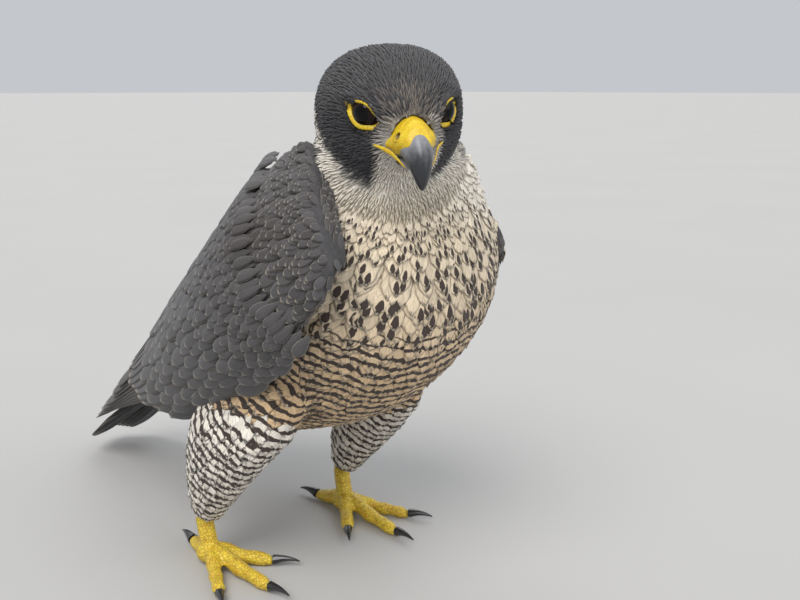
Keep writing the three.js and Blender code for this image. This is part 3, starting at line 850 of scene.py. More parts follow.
# The arm under the coverts, a closed plate that reaches in to the body. Its front
# end is rounded off, and the small coverts wrap round it.
def makeWingArm(side, word):
    def shape(u, v):
        along = v ** 1.3 * wing["coreEnd"]
        turn = u * 2
        across = np.where(turn < 1, turn, 2 - turn)
        inner = turn >= 1
        start = np.sqrt(np.clip(1 - (1 - np.clip(along / 0.05, 0, 1)) ** 2, 0, 1))
        middle = mix(0.5, across, 0.9 + 0.1 * start)
        on, normal = wingSurface(side, along, middle)
        thick = mix(wing["thickFront"], wing["thickRear"], np.sqrt(v))
        full = 0.25 + 0.75 * np.clip(np.sin(math.pi * across), 0, 1) ** 0.6
        outer = wing["coverDepth"] + 3.2 * (1 - start)
        depth = np.where(inner, wing["coverDepth"] + 3.2 + thick * full * start, outer)
        return on - normal * depth[:, None]
    mesh = bentSheet(f"wingArm{word}", 65, 41, shape)
    material, tree, shader = newMaterial(f"armSkin{word}", 0.9)
    coords = tree.nodes.new("ShaderNodeTexCoord").outputs["Object"]
    mottled = noiseNode(tree, coords, 500.0, 4.0)
    tone = mixColours(tree, mottled, tuple(colour["slateMark"]), tuple(colour["slate"]))
    tree.links.new(tone, shader.inputs["Base Color"])
    addBump(tree, shader, mottled, 0.4, 0.0005)
    return addPiece(mesh.name, mesh, material)


arms = {side: makeWingArm(side, word) for side, word in ((-1, "Right"), (1, "Left"))}
armTree = {side: makeSurface([arm.data]) for side, arm in arms.items()}
coverSurface = makeSurface([skinMesh, arms[-1].data, arms[1].data])
hugHead = hugOn(skinSurface)
hugBody = hugOn(coverSurface)
print("wing arms done")


billTree = nodeTree(["cere", "bill_upper", "bill_lower"])


# Leaves out roots on the bare parts of the face and deep under a wing.
def bareOrHidden(points, normals):
    world = fromBird(points)
    drop = np.zeros(len(points), bool)
    for i, (p, n) in enumerate(zip(world.tolist(), normals.tolist())):
        if billTree.find_nearest(p, 0.0007)[0] is not None:
            drop[i] = True
            continue
        for surface in armTree.values():
            hit = surface["tree"].ray_cast(Vector(p) + Vector(n) * 0.0002, n, 0.03)
            drop[i] |= hit[0] is not None
    return drop


# The bare skin between the cere and each corner of the mouth
def besideCere(points):
    head = toHead(points)
    head[:, 0] = np.abs(head[:, 0])
    line = curveAt([(6.5, -32, -3.5), (9.5, -30.5, -6.2)], np.linspace(0, 1, 9))
    return np.linalg.norm(head[:, None] - line[None], axis=2).min(1) < 2.6


# An unwrap of the body: the angle round its long axis against the height along it.
def bodyUnwrap(points):
    axis = unit(np.array([0, 0.72, -0.69]))
    middle = np.array([0, 40, 190])
    away = points - middle
    along = away @ axis
    radial = away - along[:, None] * axis
    up = np.cross(axis, (1, 0, 0))
    angle = np.arctan2(radial[:, 0], radial @ up)
    turnShare = angle / (2 * math.pi) + 0.5
    downShare = np.clip((along + 90) / 280, 0, 1)
    return np.stack([0.02 + 0.96 * turnShare, 0.02 + 0.96 * downShare], -1)


def rootSpacing(points):
    head = toHead(points)
    far = np.linalg.norm(head, axis=1)
    face = np.linalg.norm(head - np.array([0, -30, -2]), axis=1)
    gap = mix(0.82, 1.02, step(8, 40, face))
    gap = mix(gap, 3.5, step(36, 66, far))
    return np.where(points[:, 2] < 95, np.minimum(gap, 2.9), gap)


def growBodyCoat():
    points, normals, gaps = scatterRoots(skinSurface, 330000, rootSpacing, 11)
    keep = ~bareOrHidden(points, normals)
    points, normals, gaps = points[keep], normals[keep], gaps[keep]
    owner = ownerOf(points)
    rng = np.random.default_rng(5)
    n = len(points)
    chance = rng.random(n)
    lie = coatLie(points, normals, owner)
    turn = rng.normal(0, 0.10, n)[:, None]
    out = np.cross(lie, normals)
    lie = unit(lie + out * turn)
    out = np.cross(lie, normals)
    roots = {
        "at": points, "lie": lie, "out": out, "normal": normals, "chance": chance,
        "bend": rng.normal(0, 0.25, n) * gaps,
        "unwrap": bodyUnwrap(points), "owner": owner, "gap": gaps,
    }
    roots.update(coatLook(points, normals, owner, chance))
    tips = points + lie * gaps[:, None] * 3.4
    clear = (eyeReach(points) > 1) & (eyeReach(tips) > 0.9) & ~besideCere(points)
    print("body roots:", clear.sum())
    return pick(roots, clear)


def pick(roots, mask):
    return {key: value[mask] for key, value in roots.items()}


def shaped(roots, length, half, low, high, camber, curl, roll, seed):
    rng = np.random.default_rng(seed)
    n = len(roots["at"])
    gap = roots["gap"]
    roots["length"] = gap * length * rng.uniform(0.88, 1.12, n)
    roots["half"] = gap * half * rng.uniform(0.9, 1.1, n)
    roots["low"] = np.full(n, low)
    roots["high"] = high * rng.uniform(0.8, 1.2, n)
    roots["camber"] = np.full(n, camber)
    roots["curl"] = np.full(n, curl)
    roots["roll"] = rng.normal(0, roll, n)
    return roots


plumageFine = makePlumage("finePlumage", 9.0)
plumageBody = makePlumage("bodyPlumage", 16.0)
plumageFlight = makePlumage("flightPlumage", 60.0, 0.62)


coat = {
    "headReach": 43,
    "head": {"length": 4.6, "half": 0.5, "low": -0.3, "high": 0.95,
             "camber": 0.08, "curl": 0.75, "roll": 0.05},
    "body": {"length": 5.2, "half": 1.25, "low": -0.9, "high": 1.5,
             "camber": 0.22, "curl": 0.9, "roll": 0.2},
    "thigh": {"length": 5.0, "half": 1.1, "low": -0.8, "high": 2.1,
              "camber": 0.3, "curl": 0.9, "roll": 0.2},
}


def makeBodyCoats():
    roots = growBodyCoat()
    at = roots["at"]
    head = toHead(at)
    isHead = np.linalg.norm(head, axis=1) < coat["headReach"]
    isThigh = (roots["owner"] == 3) & ~isHead
    rest = ~isHead & ~isThigh
    rear = roots["normal"] @ unit(np.array([0, 0.62, 0.78])) > 0.3
    tuft = featherGrid(3, 2, tuftOutline, 0.10, 1)
    grids = [featherGrid(6, 6, roundOutline, 0.11, seed) for seed in (2, 3)]
    for name, mask, kind, slot in (
        ("coatFace", isHead & (head[:, 1] < -2), "head", "hood_plumage"),
        ("coatCrown", isHead & (head[:, 1] >= -2), "head", "hood_plumage"),
        ("coatBreast", rest & ~rear & (at[:, 2] > 150), "body", "barred_plumage"),
        ("coatBelly", rest & ~rear & (at[:, 2] <= 150), "body", "barred_plumage"),
        ("coatBack", rest & rear, "body", "slate_plumage"),
        ("coatThighRight", isThigh & (at[:, 0] < 0), "thigh", "pale_plumage"),
        ("coatThighLeft", isThigh & (at[:, 0] >= 0), "thigh", "pale_plumage"),
    ):
        part = shaped(pick(roots, mask), seed=21, **coat[kind])
        if kind == "head":
            batches = [(tuft, part, layFeathers(part, tuft, hugHead))]
        else:
            odd = np.arange(len(part["at"])) % 2 == 1
            batches = []
            for grid, some in zip(grids, (~odd, odd)):
                chosen = pick(part, some)
                batches.append((grid, chosen, layFeathers(chosen, grid, hugBody)))
        material = plumageFine if kind == "head" else plumageBody
        addPiece(name, coatMesh(name, batches), material)


makeBodyCoats()


# The skin takes the coat's own colours, a little darker: painted shade for the gaps between the
# feathers.
def makeSkin():
    bird = toBird(skinSurface["points"])
    far = np.linalg.norm(toHead(bird), axis=1)
    thigh = (bird[:, 2] < 92) & (np.abs(bird[:, 0]) > 26) & (bird[:, 1] > 50)
    owner = np.where(far < 38, 0, np.where(thigh, 3, 2))
    look = coatLook(bird, skinSurface["normals"], owner, np.full(len(bird), 0.95))
    # the factor 0.75 is painted shade where the skin shows between feathers
    rgba = np.concatenate([look["ground"] * 0.75, np.ones((len(bird), 1))], 1)
    ground = skinMesh.attributes.new("ground", "FLOAT_COLOR", "POINT")
    ground.data.foreach_set("color", rgba.ravel())
    material, tree, shader = newMaterial("skinUnderCoat", 0.9)
    base = attributeNode(tree, "ground").outputs["Color"]
    coords = tree.nodes.new("ShaderNodeTexCoord").outputs["Object"]
    mottled = noiseNode(tree, coords, 900.0, 3.0)
    tone = rampNode(tree, mottled, 0.3, 0.7, 0.7, 1.15)
    scaled = tree.nodes.new("ShaderNodeVectorMath")
    scaled.operation = "SCALE"
    tree.links.new(base, scaled.inputs[0])
    tree.links.new(tone, scaled.inputs["Scale"])
    tree.links.new(scaled.outputs["Vector"], shader.inputs["Base Color"])
    addBump(tree, shader, mottled, 0.5, 0.0005)
    piece = addPiece("skin", skinMesh, material)
    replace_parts(piece, *fleshNodes)
    return piece


skin = makeSkin()
print("body coats done")


# The feathers of the wing

wingLength = 350.0


# Lays feathers on a wing. Each root is [along, across] with a length in millimetres.
def layOnWing(side, roots, grid):
    run = grid["along"][None, :] * roots["length"][:, None]
    drift = grid["width"][None, :] * roots["half"][:, None]
    along = roots["place"][:, :1] + run / wingLength
    across = roots["place"][:, 1:] + roots["slope"][:, None] * grid["along"][None, :]
    across = across + drift / wingWidth(along)
    on, normal = wingSurface(side, along, across)
    v = np.clip(grid["along"], 0, 1)[None, :]
    risen = np.clip(v * roots["rise"][:, None], 0, 1)
    lift = mix(roots["low"][:, None], roots["high"][:, None], risen)
    lift = lift + roots["camber"][:, None] * grid["raised"][None, :]
    lift = lift + roots["tilt"][:, None] * grid["across"][None, :] * np.clip(v * 2.2, 0, 1)
    lift = lift + roots["arch"][:, None] * v ** 2
    return on + normal * lift[..., None]


def wingLook(roots, kind):
    n = len(roots["chance"])
    chance = roots["chance"]
    slate = np.tile(colour["slate"], (n, 1))
    front = 1 - step(0.02, 0.3, roots["place"][:, 0])
    ground = blendColour(slate, colour["brown"], 0.45 * front * (chance * 3.3 % 1))
    along, across = roots["place"][:, 0], roots["place"][:, 1]
    patch = np.exp(-((along - 0.1) / 0.07) ** 2 - ((across - 0.42) / 0.17) ** 2)
    ground = blendColour(ground, colour["brown"] * 0.7, 0.85 * patch)
    rim = np.full(n, {"covert": 0.175, "secondary": 0.09, "primary": 0.07, "tail": 0.1}[kind])
    edge = blendColour(np.tile(colour["slateEdge"], (n, 1)), colour["slate"], 0.55 * patch)
    if kind == "primary":
        ground = blendColour(ground, colour["brown"], 0.6)
    bars = np.full(n, 0.2 if kind == "tail" else 0.0)
    roots["ground"] = ground * (0.82 + 0.36 * (chance[:, None] * 5.7 % 1))
    roots["mark"] = np.tile(colour["slateMark"], (n, 1))
    roots["edge"] = edge
    roots["pattern"] = np.stack([np.zeros(n), bars, rim], -1)
    return roots


def wingRoots(
    places, length, half, low, high, seed, camber=0.45, tilt=0.0, rise=1.25, arch=0.0, slope=0.0
):
    rng = np.random.default_rng(seed)
    n = len(places)
    full = lambda value: np.broadcast_to(np.asarray(value, float), (n,)).copy()
    places = np.asarray(places, float)
    return {
        "place": places, "length": full(length) * rng.uniform(0.94, 1.06, n), "half": full(half),
        "low": full(low), "high": full(high), "camber": full(camber), "tilt": full(tilt),
        "rise": full(rise), "arch": full(arch), "slope": full(slope), "chance": rng.random(n),
        "unwrap": np.stack([0.03 + 0.94 * np.clip(places[:, 0] / 1.05 + 0.05, 0, 1),
                            0.03 + 0.94 * np.clip(places[:, 1] * 0.9 + 0.05, 0, 1)], -1),
    }


def covertRows(seed):
    rng = np.random.default_rng(seed)
    places, length, half, high = [], [], [], []
    along = wing["rowsStart"]
    row = 0
    while along < wing["rowsEnd"]:
        share = float(step(0.1, 0.44, along))
        pitch = mix(wing["firstRow"], wing["lastRow"], share)
        width = float(wingWidth(np.array([max(along, 0.0)]))[0])
        count = max(int(width * 1.06 / pitch), 3)
        for i in range(count + 1):
            across = -0.04 + 1.08 * (i + 0.5 * (row % 2)) / count + rng.normal(0, 0.008)
            if across > 1.05:
                continue
            places.append((along + rng.normal(0, 0.004), across))
            length.append(pitch * mix(2.9, 3.5, share))
            half.append(pitch * 0.72)
            high.append(mix(2.2, 3.4, share) + rng.normal(0, 0.25))
        along += pitch / wingLength
        row += 1
    return wingRoots(places, length, half, -1.8, high, seed, camber=0.55)


# Small feathers over the bend of the wing, growing larger behind it
def lesserCoverts(side, seed):
    surface = armTree[side]
    ends = wingPlace(side, np.linspace(-0.02, 0.3, 33)[:, None], np.linspace(0, 1, 21)[None, :])

    def placeOn(points):
        gaps = np.linalg.norm(points[:, None] - ends.reshape(1, -1, 3), axis=2)
        nearest = gaps.argmin(1)
        return -0.02 + 0.32 * (nearest // 21) / 32, (nearest % 21) / 20

    def spacing(points):
        along = placeOn(points)[0]
        return np.where(along > 0.2, 0, mix(2.1, 4.6, step(0.0, 0.2, along)))

    points, normals, gaps = scatterRoots(surface, 24000, spacing, seed)
    along, across = placeOn(points)
    outward = wingSurface(side, along, across)[1]
    facing = (normals * outward).sum(1)
    keep = facing > np.where(along < 0.03, -0.8, -0.25)
    points, normals, gaps = points[keep], normals[keep], gaps[keep]
    along, across = along[keep], across[keep]
    rng = np.random.default_rng(seed)
    n = len(points)
    ahead = wingPlace(side, along + 0.03, across) - wingPlace(side, along, across)
    lie = onTangent(ahead, normals)
    lie = unit(lie + np.cross(lie, normals) * rng.normal(0, 0.09, n)[:, None])
    roots = {
        "at": points, "lie": lie, "out": np.cross(lie, normals), "gap": gaps,
        "chance": rng.random(n),
        "bend": rng.normal(0, 0.2, n) * gaps, "place": np.stack([along, across], -1),
        "unwrap": np.stack([0.03 + 0.9 * np.clip(along, 0, 1), 0.03 + 0.9 * across], -1),
    }
    shaped(roots, 3.9, 1.0, -0.9, 1.5, 0.16, 0.8, 0.1, seed)
    return wingLook(roots, "covert")


def makeWing(side, word):
    seed = 40 + side
    small = featherGrid(7, 4, roundOutline, 0.03, 7)
    long = featherGrid(16, 6, longOutline, 0.012, 8)
    coverts = wingLook(covertRows(seed), "covert")
    count = 12
    share = np.linspace(0, 1, count)
    secondaries = wingLook(wingRoots(
        np.stack([mix(0.44, 0.37, share), mix(0.07, 0.92, share)], -1),
        mix(98, 84, share), 8.6, -2.6, 1.7, seed + 1, camber=0.5, tilt=0.95, rise=1.4, slope=0.01,
    ), "secondary")
    count = 9
    share = np.linspace(0, 1, count)
    tips = mix(0.74, 1.0, share ** 0.8)
    primaries = wingLook(wingRoots(
        np.stack([np.full(count, 0.5), mix(0.28, 0.84, share)], -1),
        (tips - 0.5) * wingLength, 6.4, -2.8, 0.3 - 0.68 * np.arange(count), seed + 2,
        camber=0.35, tilt=0.15, rise=1.4, arch=3.2, slope=mix(0.12, -0.24, share),
    ), "primary")
    batches = [(small, coverts, layOnWing(side, coverts, small))]
    lesser = lesserCoverts(side, seed + 5)
    batches.append((small, lesser, layFeathers(lesser, small, hugOn(armTree[side]))))
    for roots in (secondaries, primaries):
        batches.append((long, roots, layOnWing(side, roots, long)))
    mesh = coatMesh(f"wingFeathers{word}", batches)
    piece = addPiece(mesh.name, mesh, plumageFlight)
    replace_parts(piece, f"wing_{word.lower()}")
    return piece


for side, word in ((-1, "Right"), (1, "Left")):
    makeWing(side, word)
print("wings done")


# Tail

tail = {"rootY": 196, "rootZ": 78, "tipY": 303, "tipZ": 14, "step": 0.8}


def makeTail():
    grid = featherGrid(18, 6, longOutline, 0.012, 9)
    rank = np.arange(12)
    pair = rank // 2
    hand = np.where(rank % 2 == 1, 1.0, -1.0)
    v = grid["along"][None, :]
    along = v * (1 - 0.014 * pair[:, None])
    spread = hand[:, None] * mix((1 + pair * 1.2)[:, None], (1.8 + pair * 2.5)[:, None], v)
    across = spread + grid["width"][None, :] * mix(5.5, 8.4, v)
    y = mix(tail["rootY"], tail["tipY"], along)
    z = mix(tail["rootZ"], tail["tipZ"], along) + 2 * np.sin(math.pi * along)
    level = -rank[:, None] * tail["step"] * mix(0.4, 1, np.minimum(v * 3, 1))
    level = level + 0.4 * grid["raised"][None, :]
    points = np.stack([across, y, z + level], -1)
    n = len(rank)
    roots = wingRoots(np.stack([np.linspace(0.1, 0.9, n), np.full(n, 0.5)], -1), 1, 1, 0, 0, 32)
    roots = wingLook(roots, "tail")
    mesh = coatMesh("tailFeathers", [(grid, roots, points)])
    piece = addPiece("tailFeathers", mesh, plumageFlight)
    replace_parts(piece, "tail")
    return piece


def makeRump():
    def shape(u, v):
        turn = u * 2 * math.pi
        along = mix(-0.06, 0.2, v)
        y = mix(tail["rootY"], tail["tipY"], along)
        z = mix(tail["rootZ"], tail["tipZ"], along) + 2 * np.sin(math.pi * along) - 3
        taper = np.where(v > 0.99, 0.3, 1.0)
        wide = mix(15, 9, v) * taper
        deep = mix(8, 5, v) * taper
        return np.stack([np.sin(turn) * wide, y, z + np.cos(turn) * deep], -1)
    material, tree, shader = newMaterial("rumpSkin", 0.9)
    coords = tree.nodes.new("ShaderNodeTexCoord").outputs["Object"]
    mottled = noiseNode(tree, coords, 500.0, 4.0)
    tone = mixColours(tree, mottled, tuple(colour["slate"] * 0.7), tuple(colour["slate"] * 1.3))
    tree.links.new(tone, shader.inputs["Base Color"])
    addBump(tree, shader, mottled, 0.4, 0.0005)
    return addPiece("rump", bentSheet("rump", 33, 9, shape), material)


makeTail()
makeRump()
print("tail done")


# Eyes and their lids

def makeEyes():
    material, tree, shader = newMaterial("eyeBall", 0.03, IOR=1.36, Specular_IOR_Level=0.3)
    reach = attributeNode(tree, "fromAxis").outputs["Fac"]
    iris = rampNode(tree, reach, 0.40, 0.50)
    white = rampNode(tree, reach, 0.80, 0.86)
    ringed = mixColours(tree, iris, (0.0012, 0.001, 0.001), (0.012, 0.0055, 0.003))
    tone = mixColours(tree, white, ringed, (0.01, 0.008, 0.008))
    tree.links.new(tone, shader.inputs["Base Color"])
    for side, word in ((1, "left"), (-1, "right")):
        centre, axis = eyeFrame(side, word)[:2]
        bm = bmesh.new()
        radius = eyeSizes["radius"] / 1000
        bmesh.ops.create_uvsphere(bm, u_segments=48, v_segments=28, radius=radius)
        bmesh.ops.translate(bm, verts=bm.verts, vec=fromBird(centre))
        mesh = meshFromBmesh(f"eyeBall{word.capitalize()}", bm)
        points, _ = meshArrays(mesh)
        direction = unit(toBird(points) - centre)
        angle = np.arccos(np.clip(direction @ axis, -1, 1))
        mesh.attributes.new("fromAxis", "FLOAT", "POINT").data.foreach_set("value", angle)
        bulge = 0.5 * np.exp(-(angle / 0.5) ** 2)
        points += direction * bulge[:, None] / 1000
        mesh.vertices.foreach_set("co", points.ravel())
        piece = addPiece(mesh.name, mesh, material)
        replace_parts(piece, f"eye_{word}")


def makeLids(material):
    for side, word in ((1, "left"), (-1, "right")):
        centre, axis, across, up = eyeFrame(side, word)

        def shape(u, v):
            turn = v * 2 * math.pi
            roundness = u * 2 * math.pi
            corner = np.abs(np.cos(turn)) ** 5
            under = np.clip(-np.sin(turn), 0, 1)
            thick = eyeSizes["lid"] * (0.7 + 0.3 * step(-0.3, 0.3, -np.sin(turn)))
            thick = thick + eyeSizes["corner"] * corner * 0.5 + 0.3 * under
            wide = eyeSizes["openWide"] + thick * 0.9 + eyeSizes["corner"] * corner
            high = eyeSizes["openHigh"] + thick * 0.9
            x = wide * np.cos(turn)
            z = high * np.sin(turn) * (1 - 0.12 * corner)
            deep = np.sqrt(np.clip((eyeSizes["radius"] + 0.1) ** 2 - x ** 2 - z ** 2, 9, None))
            fold = 0.06 * np.sin(turn * 26)
            outward = unit(np.stack([x, z], -1))
            ring = (thick + fold)[:, None] * outward * np.cos(roundness)[:, None]
            rise = (0.65 * thick + fold) * np.sin(roundness) + 0.3 + 0.9 * corner
            flat = np.stack([x, z], -1) + ring
            place = centre + across * flat[:, :1] + up * flat[:, 1:]
            return place + axis * (deep + rise)[:, None]

        mesh = bentSheet(f"lids{word.capitalize()}", 15, 97, shape)
        piece = addPiece(mesh.name, mesh, material)
        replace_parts(piece, f"eyelids_{word}")


# Waxy yellow skin with fine pores, shared by the cere, the lids and the feet
def makeYellowSkin(name, scale, strength, base, deep):
    material, tree, shader = newMaterial(name, 0.42, Subsurface_Weight=0.08, Subsurface_Scale=0.002)
    coords = tree.nodes.new("ShaderNodeTexCoord").outputs["Object"]
    cells = tree.nodes.new("ShaderNodeTexVoronoi")
    cells.feature = "DISTANCE_TO_EDGE"
    cells.inputs["Scale"].default_value = scale
    tree.links.new(coords, cells.inputs["Vector"])
    groove = rampNode(tree, cells.outputs["Distance"], 0.0, 0.16)
    cloud = noiseNode(tree, coords, 260.0, 3.0)
    tone = mixColours(tree, rampNode(tree, cloud, 0.35, 0.7), base, deep)
    # painted shade inside the nostrils, from an attribute that only the cere carries
    tone = mixColours(tree, attributeNode(tree, "nostrilShade").outputs["Fac"], tone, (0.03, 0.012, 0.004))
    # the colour is darker along the grooves between the cells
    grooveDarkening = mathNode(tree, "MULTIPLY_ADD", groove, 0.45, 0.55)
    scaled = tree.nodes.new("ShaderNodeVectorMath")
    scaled.operation = "SCALE"
    tree.links.new(tone, scaled.inputs[0])
    tree.links.new(grooveDarkening, scaled.inputs["Scale"])
    tree.links.new(scaled.outputs["Vector"], shader.inputs["Base Color"])
    addBump(tree, shader, groove, strength, 0.0003)
    return material


cereSkin = makeYellowSkin("cereSkin", 1900.0, 0.12, (0.86, 0.62, 0.02), (0.78, 0.50, 0.015))
legSkin = makeYellowSkin("legSkin", 620.0, 0.6, (0.80, 0.58, 0.05), (0.66, 0.42, 0.03))
makeEyes()
makeLids(cereSkin)
print("eyes done")


# Bill

bill = {
    "line": [(-28, -3.6), (-34.8, -4.6), (-40.4, -7.6), (-44.8, -13), (-46.8, -20.5)],
    "half": 7.4,
    "deep": 8.4,
    "cereTop": 0.36,
    "cereNostril": 0.08,
    "cereSide": 0.09,
    "flare": 3.4,
    "nostril": (-35.4, -1.2),
    "mouth": [(5.5, -41, -12.5), (8.2, -37, -9.4), (9.6, -33.5, -8.2),
              (12, -29, -7.2), (14.8, -25.5, -6.6)],
}


def billPoint(share, turn, grow):
    fine = curveAt(bill["line"], np.linspace(0, 1, 200))
    run = np.concatenate([[0], np.cumsum(np.linalg.norm(np.diff(fine, axis=0), axis=1))])
    t = np.interp(np.clip(share, 0, 1) * run[-1], run, np.linspace(0, 1, 200))
    middle = curveAt(bill["line"], t)
    ahead = unit(curveAt(bill["line"], t + 0.01) - curveAt(bill["line"], t - 0.01))
    upY, upZ = ahead[..., 1], -ahead[..., 0]
    narrow = np.clip(1 - share ** 1.6, 0, 1) ** 0.65 + 0.04
    half = bill["half"] * narrow * (1 - 0.12 * share) + grow
    deep = bill["deep"] * (narrow * 0.92 - 0.02) + 0.35 + grow
    tooth = 0.22 * np.exp(-((share - 0.62) / 0.06) ** 2)
    height = np.cos(turn)
    z = np.maximum(height, -0.55 - tooth) * deep
    ridge = 1 - 0.2 * np.clip(height, 0, 1) ** 2
    x = np.sin(turn) * half * ridge
    return np.stack([x, middle[..., 0] + upY * z, middle[..., 1] + upZ * z], -1)


def makeBill():
    horn, tree, shader = newMaterial("billHorn", 0.34, Coat_Weight=0.1)
    place = attributeNode(tree, "share").outputs["Fac"]
    coords = tree.nodes.new("ShaderNodeTexCoord").outputs["Object"]
    cloud = noiseNode(tree, coords, 420.0, 4.0)
    ragged = mathNode(tree, "MULTIPLY_ADD", cloud, 0.3, -0.15)
    tipped = rampNode(tree, mathNode(tree, "ADD", place, ragged), 0.24, 0.8)
    tone = mixColours(tree, tipped, (0.25, 0.255, 0.27), (0.020, 0.021, 0.026))
    tree.links.new(tone, shader.inputs["Base Color"])
    addBump(tree, shader, cloud, 0.1, 0.0004)

    def upper(u, v):
        return fromHead(billPoint(mix(0.06, 1.0, v), u * 2 * math.pi, 0.0))

    mesh = bentSheet("billUpper", 41, 73, upper)
    giveShare(mesh)
    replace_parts(addPiece("billUpper", mesh, horn), "bill_upper")

    def lower(u, v):
        turn = u * 2 * math.pi
        half = mix(6.8, 2.4, v ** 1.5) * np.where(v > 0.99, 0.35, 1)
        y = mix(-25, -41.3, v)
        middle = mix(-10.8, -13.6, v)
        deep = mix(3, 1.6, v) * np.where(v > 0.99, 0.4, 1)
        z = middle + np.cos(turn) * deep * np.where(np.cos(turn) > 0, 0.5, 1.0)
        return fromHead(np.stack([np.sin(turn) * half, y, z], -1))

    mesh = bentSheet("billLower", 33, 25, lower)
    giveShare(mesh)
    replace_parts(addPiece("billLower", mesh, horn), "bill_lower")

    def sleeve(u, v):
        turn = u * 2 * math.pi
        fromTop = np.where(turn > math.pi, 2 * math.pi - turn, turn)
        end = bill["cereTop"] + bill["cereNostril"] * np.exp(-((fromTop - 0.95) / 0.4) ** 2)
        share = v * (end - bill["cereSide"] * step(1.4, 2.3, fromTop))
        wrinkle = 0.12 * np.sin(v * 26 + 2 * np.cos(turn * 3)) * (1 - v)
        swell = 0.75 + 0.35 * np.sin(math.pi * v) - 0.75 * step(0.8, 1.0, v) + wrinkle
        points = billPoint(share, turn, swell)
        flare = bill["flare"] * np.exp(-((fromTop - 1.75) / 0.45) ** 2)
        flare = flare * np.clip(1 - v * 1.25, 0, 1) ** 1.4
        points += np.stack([np.sign(points[:, 0]) * flare, 0.5 * flare, -0.3 * flare], -1)
        for hand in (1, -1):
            away = points[:, 1:] - np.array(bill["nostril"])
            reach = np.linalg.norm(away, axis=1)
            near = np.sign(points[:, 0]) == hand
            hole = np.where(near, 2.2 * (1 - step(1.0, 1.5, reach)), 0)
            knob = np.where(near, 1.1 * (1 - step(0.2, 0.55, reach)), 0)
            rim = np.where(near, 0.55 * np.exp(-((reach - 1.85) / 0.4) ** 2), 0)
            points[:, 0] += hand * (rim + knob - hole)
        return fromHead(points)

    mesh = bentSheet("cere", 141, 57, sleeve)
    paintNostrilShade(mesh)
    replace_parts(addPiece("cere", mesh, cereSkin), "cere")


def giveShare(mesh):
    points, _ = meshArrays(mesh)
    head = toHead(toBird(points))
    share = np.clip((-head[:, 1] - 34) / 26, 0, 0.5) + np.clip((-head[:, 2]) / 36, 0, 0.6)
    mesh.attributes.new("share", "FLOAT", "POINT").data.foreach_set("value", share)


# Paints shade into each nostril: the inside of the hole is darkened, painted shade for the cavity.
def paintNostrilShade(mesh):
    points, _ = meshArrays(mesh)
    head = toHead(toBird(points))
    reach = np.linalg.norm(head[:, 1:] - np.array(bill["nostril"]), axis=1)
    nostrilShade = (1 - step(1.3, 1.6, reach)) * mix(0.5, 1, step(0.25, 0.5, reach))
    nostrilShade = nostrilShade * (np.abs(head[:, 0]) > 2)
    mesh.attributes.new("nostrilShade", "FLOAT", "POINT").data.foreach_set("value", nostrilShade)


# The yellow fold at each corner of the mouth
def makeGape():
    for side, word in ((1, "Left"), (-1, "Right")):
        line = [(side * x, y, z) for x, y, z in bill["mouth"]]

        def shape(u, v):
            turn = u * 2 * math.pi
            middle = curveAt(line, v)
            thick = mix(0.3, 1.0, np.sin(math.pi * v)) * np.where((v < 0.02) | (v > 0.98), 0.4, 1)
            return fromHead(middle + np.stack([
                np.zeros_like(turn), np.cos(turn) * thick * 0.8, np.sin(turn) * thick
            ], -1))

        addPiece(f"gape{word}", bentSheet(f"gape{word}", 13, 17, shape), cereSkin)


makeBill()
makeGape()
print("bill done")


# Legs, feet and claws

def makeFeet():
    for word in ("left", "right"):
        nodes = [f"foot_{word}", f"tarsus_{word}"]
        mesh = smoothShell(f"foot{word.capitalize()}", nodes, 0.00075, 0.0003, 5)
        piece = addPiece(mesh.name, mesh, legSkin)
        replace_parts(piece, f"foot_{word}", f"tarsus_{word}")


def makeClaws():
    horn, tree, shader = newMaterial("clawHorn", 0.22, Coat_Weight=0.2)
    coords = tree.nodes.new("ShaderNodeTexCoord").outputs["Object"]
    cloud = noiseNode(tree, coords, 500.0, 4.0)
    tone = mixColours(tree, cloud, (0.008, 0.008, 0.009), (0.035, 0.033, 0.034))
    tree.links.new(tone, shader.inputs["Base Color"])
    addBump(tree, shader, cloud, 0.1, 0.0003)
    for word in ("left", "right"):
        for toe in ("inner", "middle", "outer", "hind"):
            node = f"claw_{toe}_{word}"
            name = f"claw{toe.capitalize()}{word.capitalize()}"
            mesh = smoothShell(name, [node], 0.0003, 0.0001, 6)
            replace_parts(addPiece(mesh.name, mesh, horn), node)


makeFeet()
makeClaws()
print("feet done")


# Camera, light and floor

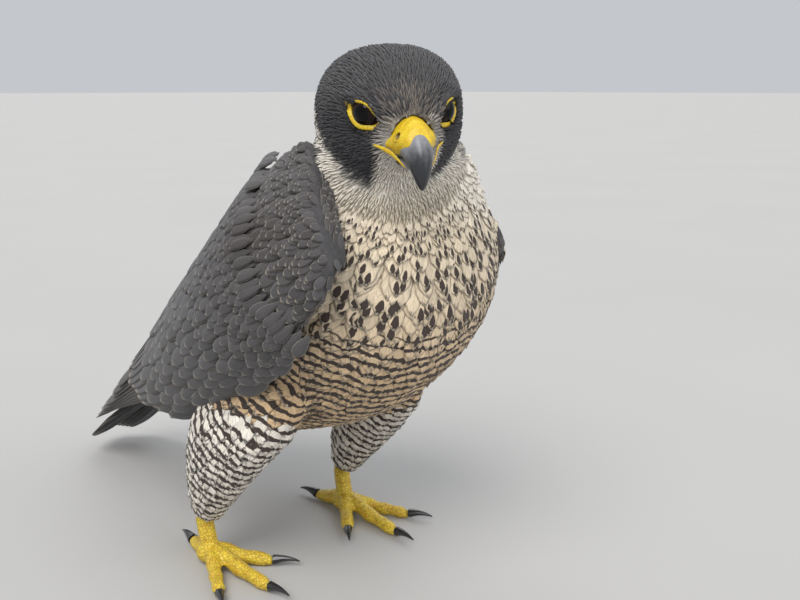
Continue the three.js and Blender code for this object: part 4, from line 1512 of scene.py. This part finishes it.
stage = {
    "camera": (-299.8, -302.3, 246),
    "view": (0.678, 0.702, -0.2164),
    "lens": 43.2,
    "keyPower": 2.3,
    "fillPower": 0.9,
    "rimPower": 0.7,
    "world": 0.6,
}


def addSun(name, place, power, width, tint):
    light = bpy.data.lights.new(name, "SUN")
    light.energy = power
    light.angle = math.radians(width)
    light.color = tint
    lamp = bpy.data.objects.new(name, light)
    lamp.location = place
    lamp.rotation_euler = (-Vector(place)).to_track_quat("-Z", "Y").to_euler()
    bpy.context.scene.collection.objects.link(lamp)


def makeStage():
    camera = bpy.data.cameras.new("camera")
    camera.sensor_width = 36
    camera.lens = stage["lens"]
    camera.clip_start = 0.01
    view = bpy.data.objects.new("camera", camera)
    view.location = fromBird(np.array(stage["camera"]))
    view.rotation_euler = Vector(stage["view"]).to_track_quat("-Z", "Y").to_euler()
    bpy.context.scene.collection.objects.link(view)
    bpy.context.scene.camera = view

    addSun("key", (-0.75, -0.4, 1.0), stage["keyPower"], 40, (1, 0.98, 0.95))
    addSun("fill", (0.35, -0.95, 0.6), stage["fillPower"], 60, (0.95, 0.97, 1))
    addSun("rim", (0.5, 0.8, 0.9), stage["rimPower"], 50, (1, 1, 1))

    world = bpy.data.worlds.new("studio")
    world.use_nodes = True
    background = world.node_tree.nodes["Background"]
    background.inputs["Color"].default_value = (0.92, 0.95, 1, 1)
    background.inputs["Strength"].default_value = stage["world"]
    bpy.context.scene.world = world
    bpy.context.scene.view_settings.view_transform = "Standard"

    bm = bmesh.new()
    bmesh.ops.create_grid(bm, x_segments=2, y_segments=2, size=40)
    mesh = meshFromBmesh("floor", bm)
    material, tree, shader = newMaterial("floorPaint", 0.85)
    coords = tree.nodes.new("ShaderNodeTexCoord").outputs["Object"]
    cloud = noiseNode(tree, coords, 3.0, 2.0)
    tone = mixColours(tree, cloud, (0.43, 0.425, 0.415), (0.46, 0.455, 0.445))
    tree.links.new(tone, shader.inputs["Base Color"])
    mesh.materials.append(material)
    floor = bpy.data.objects.new("floor", mesh)
    bpy.context.scene.collection.objects.link(floor)


makeStage()
print("stage done")
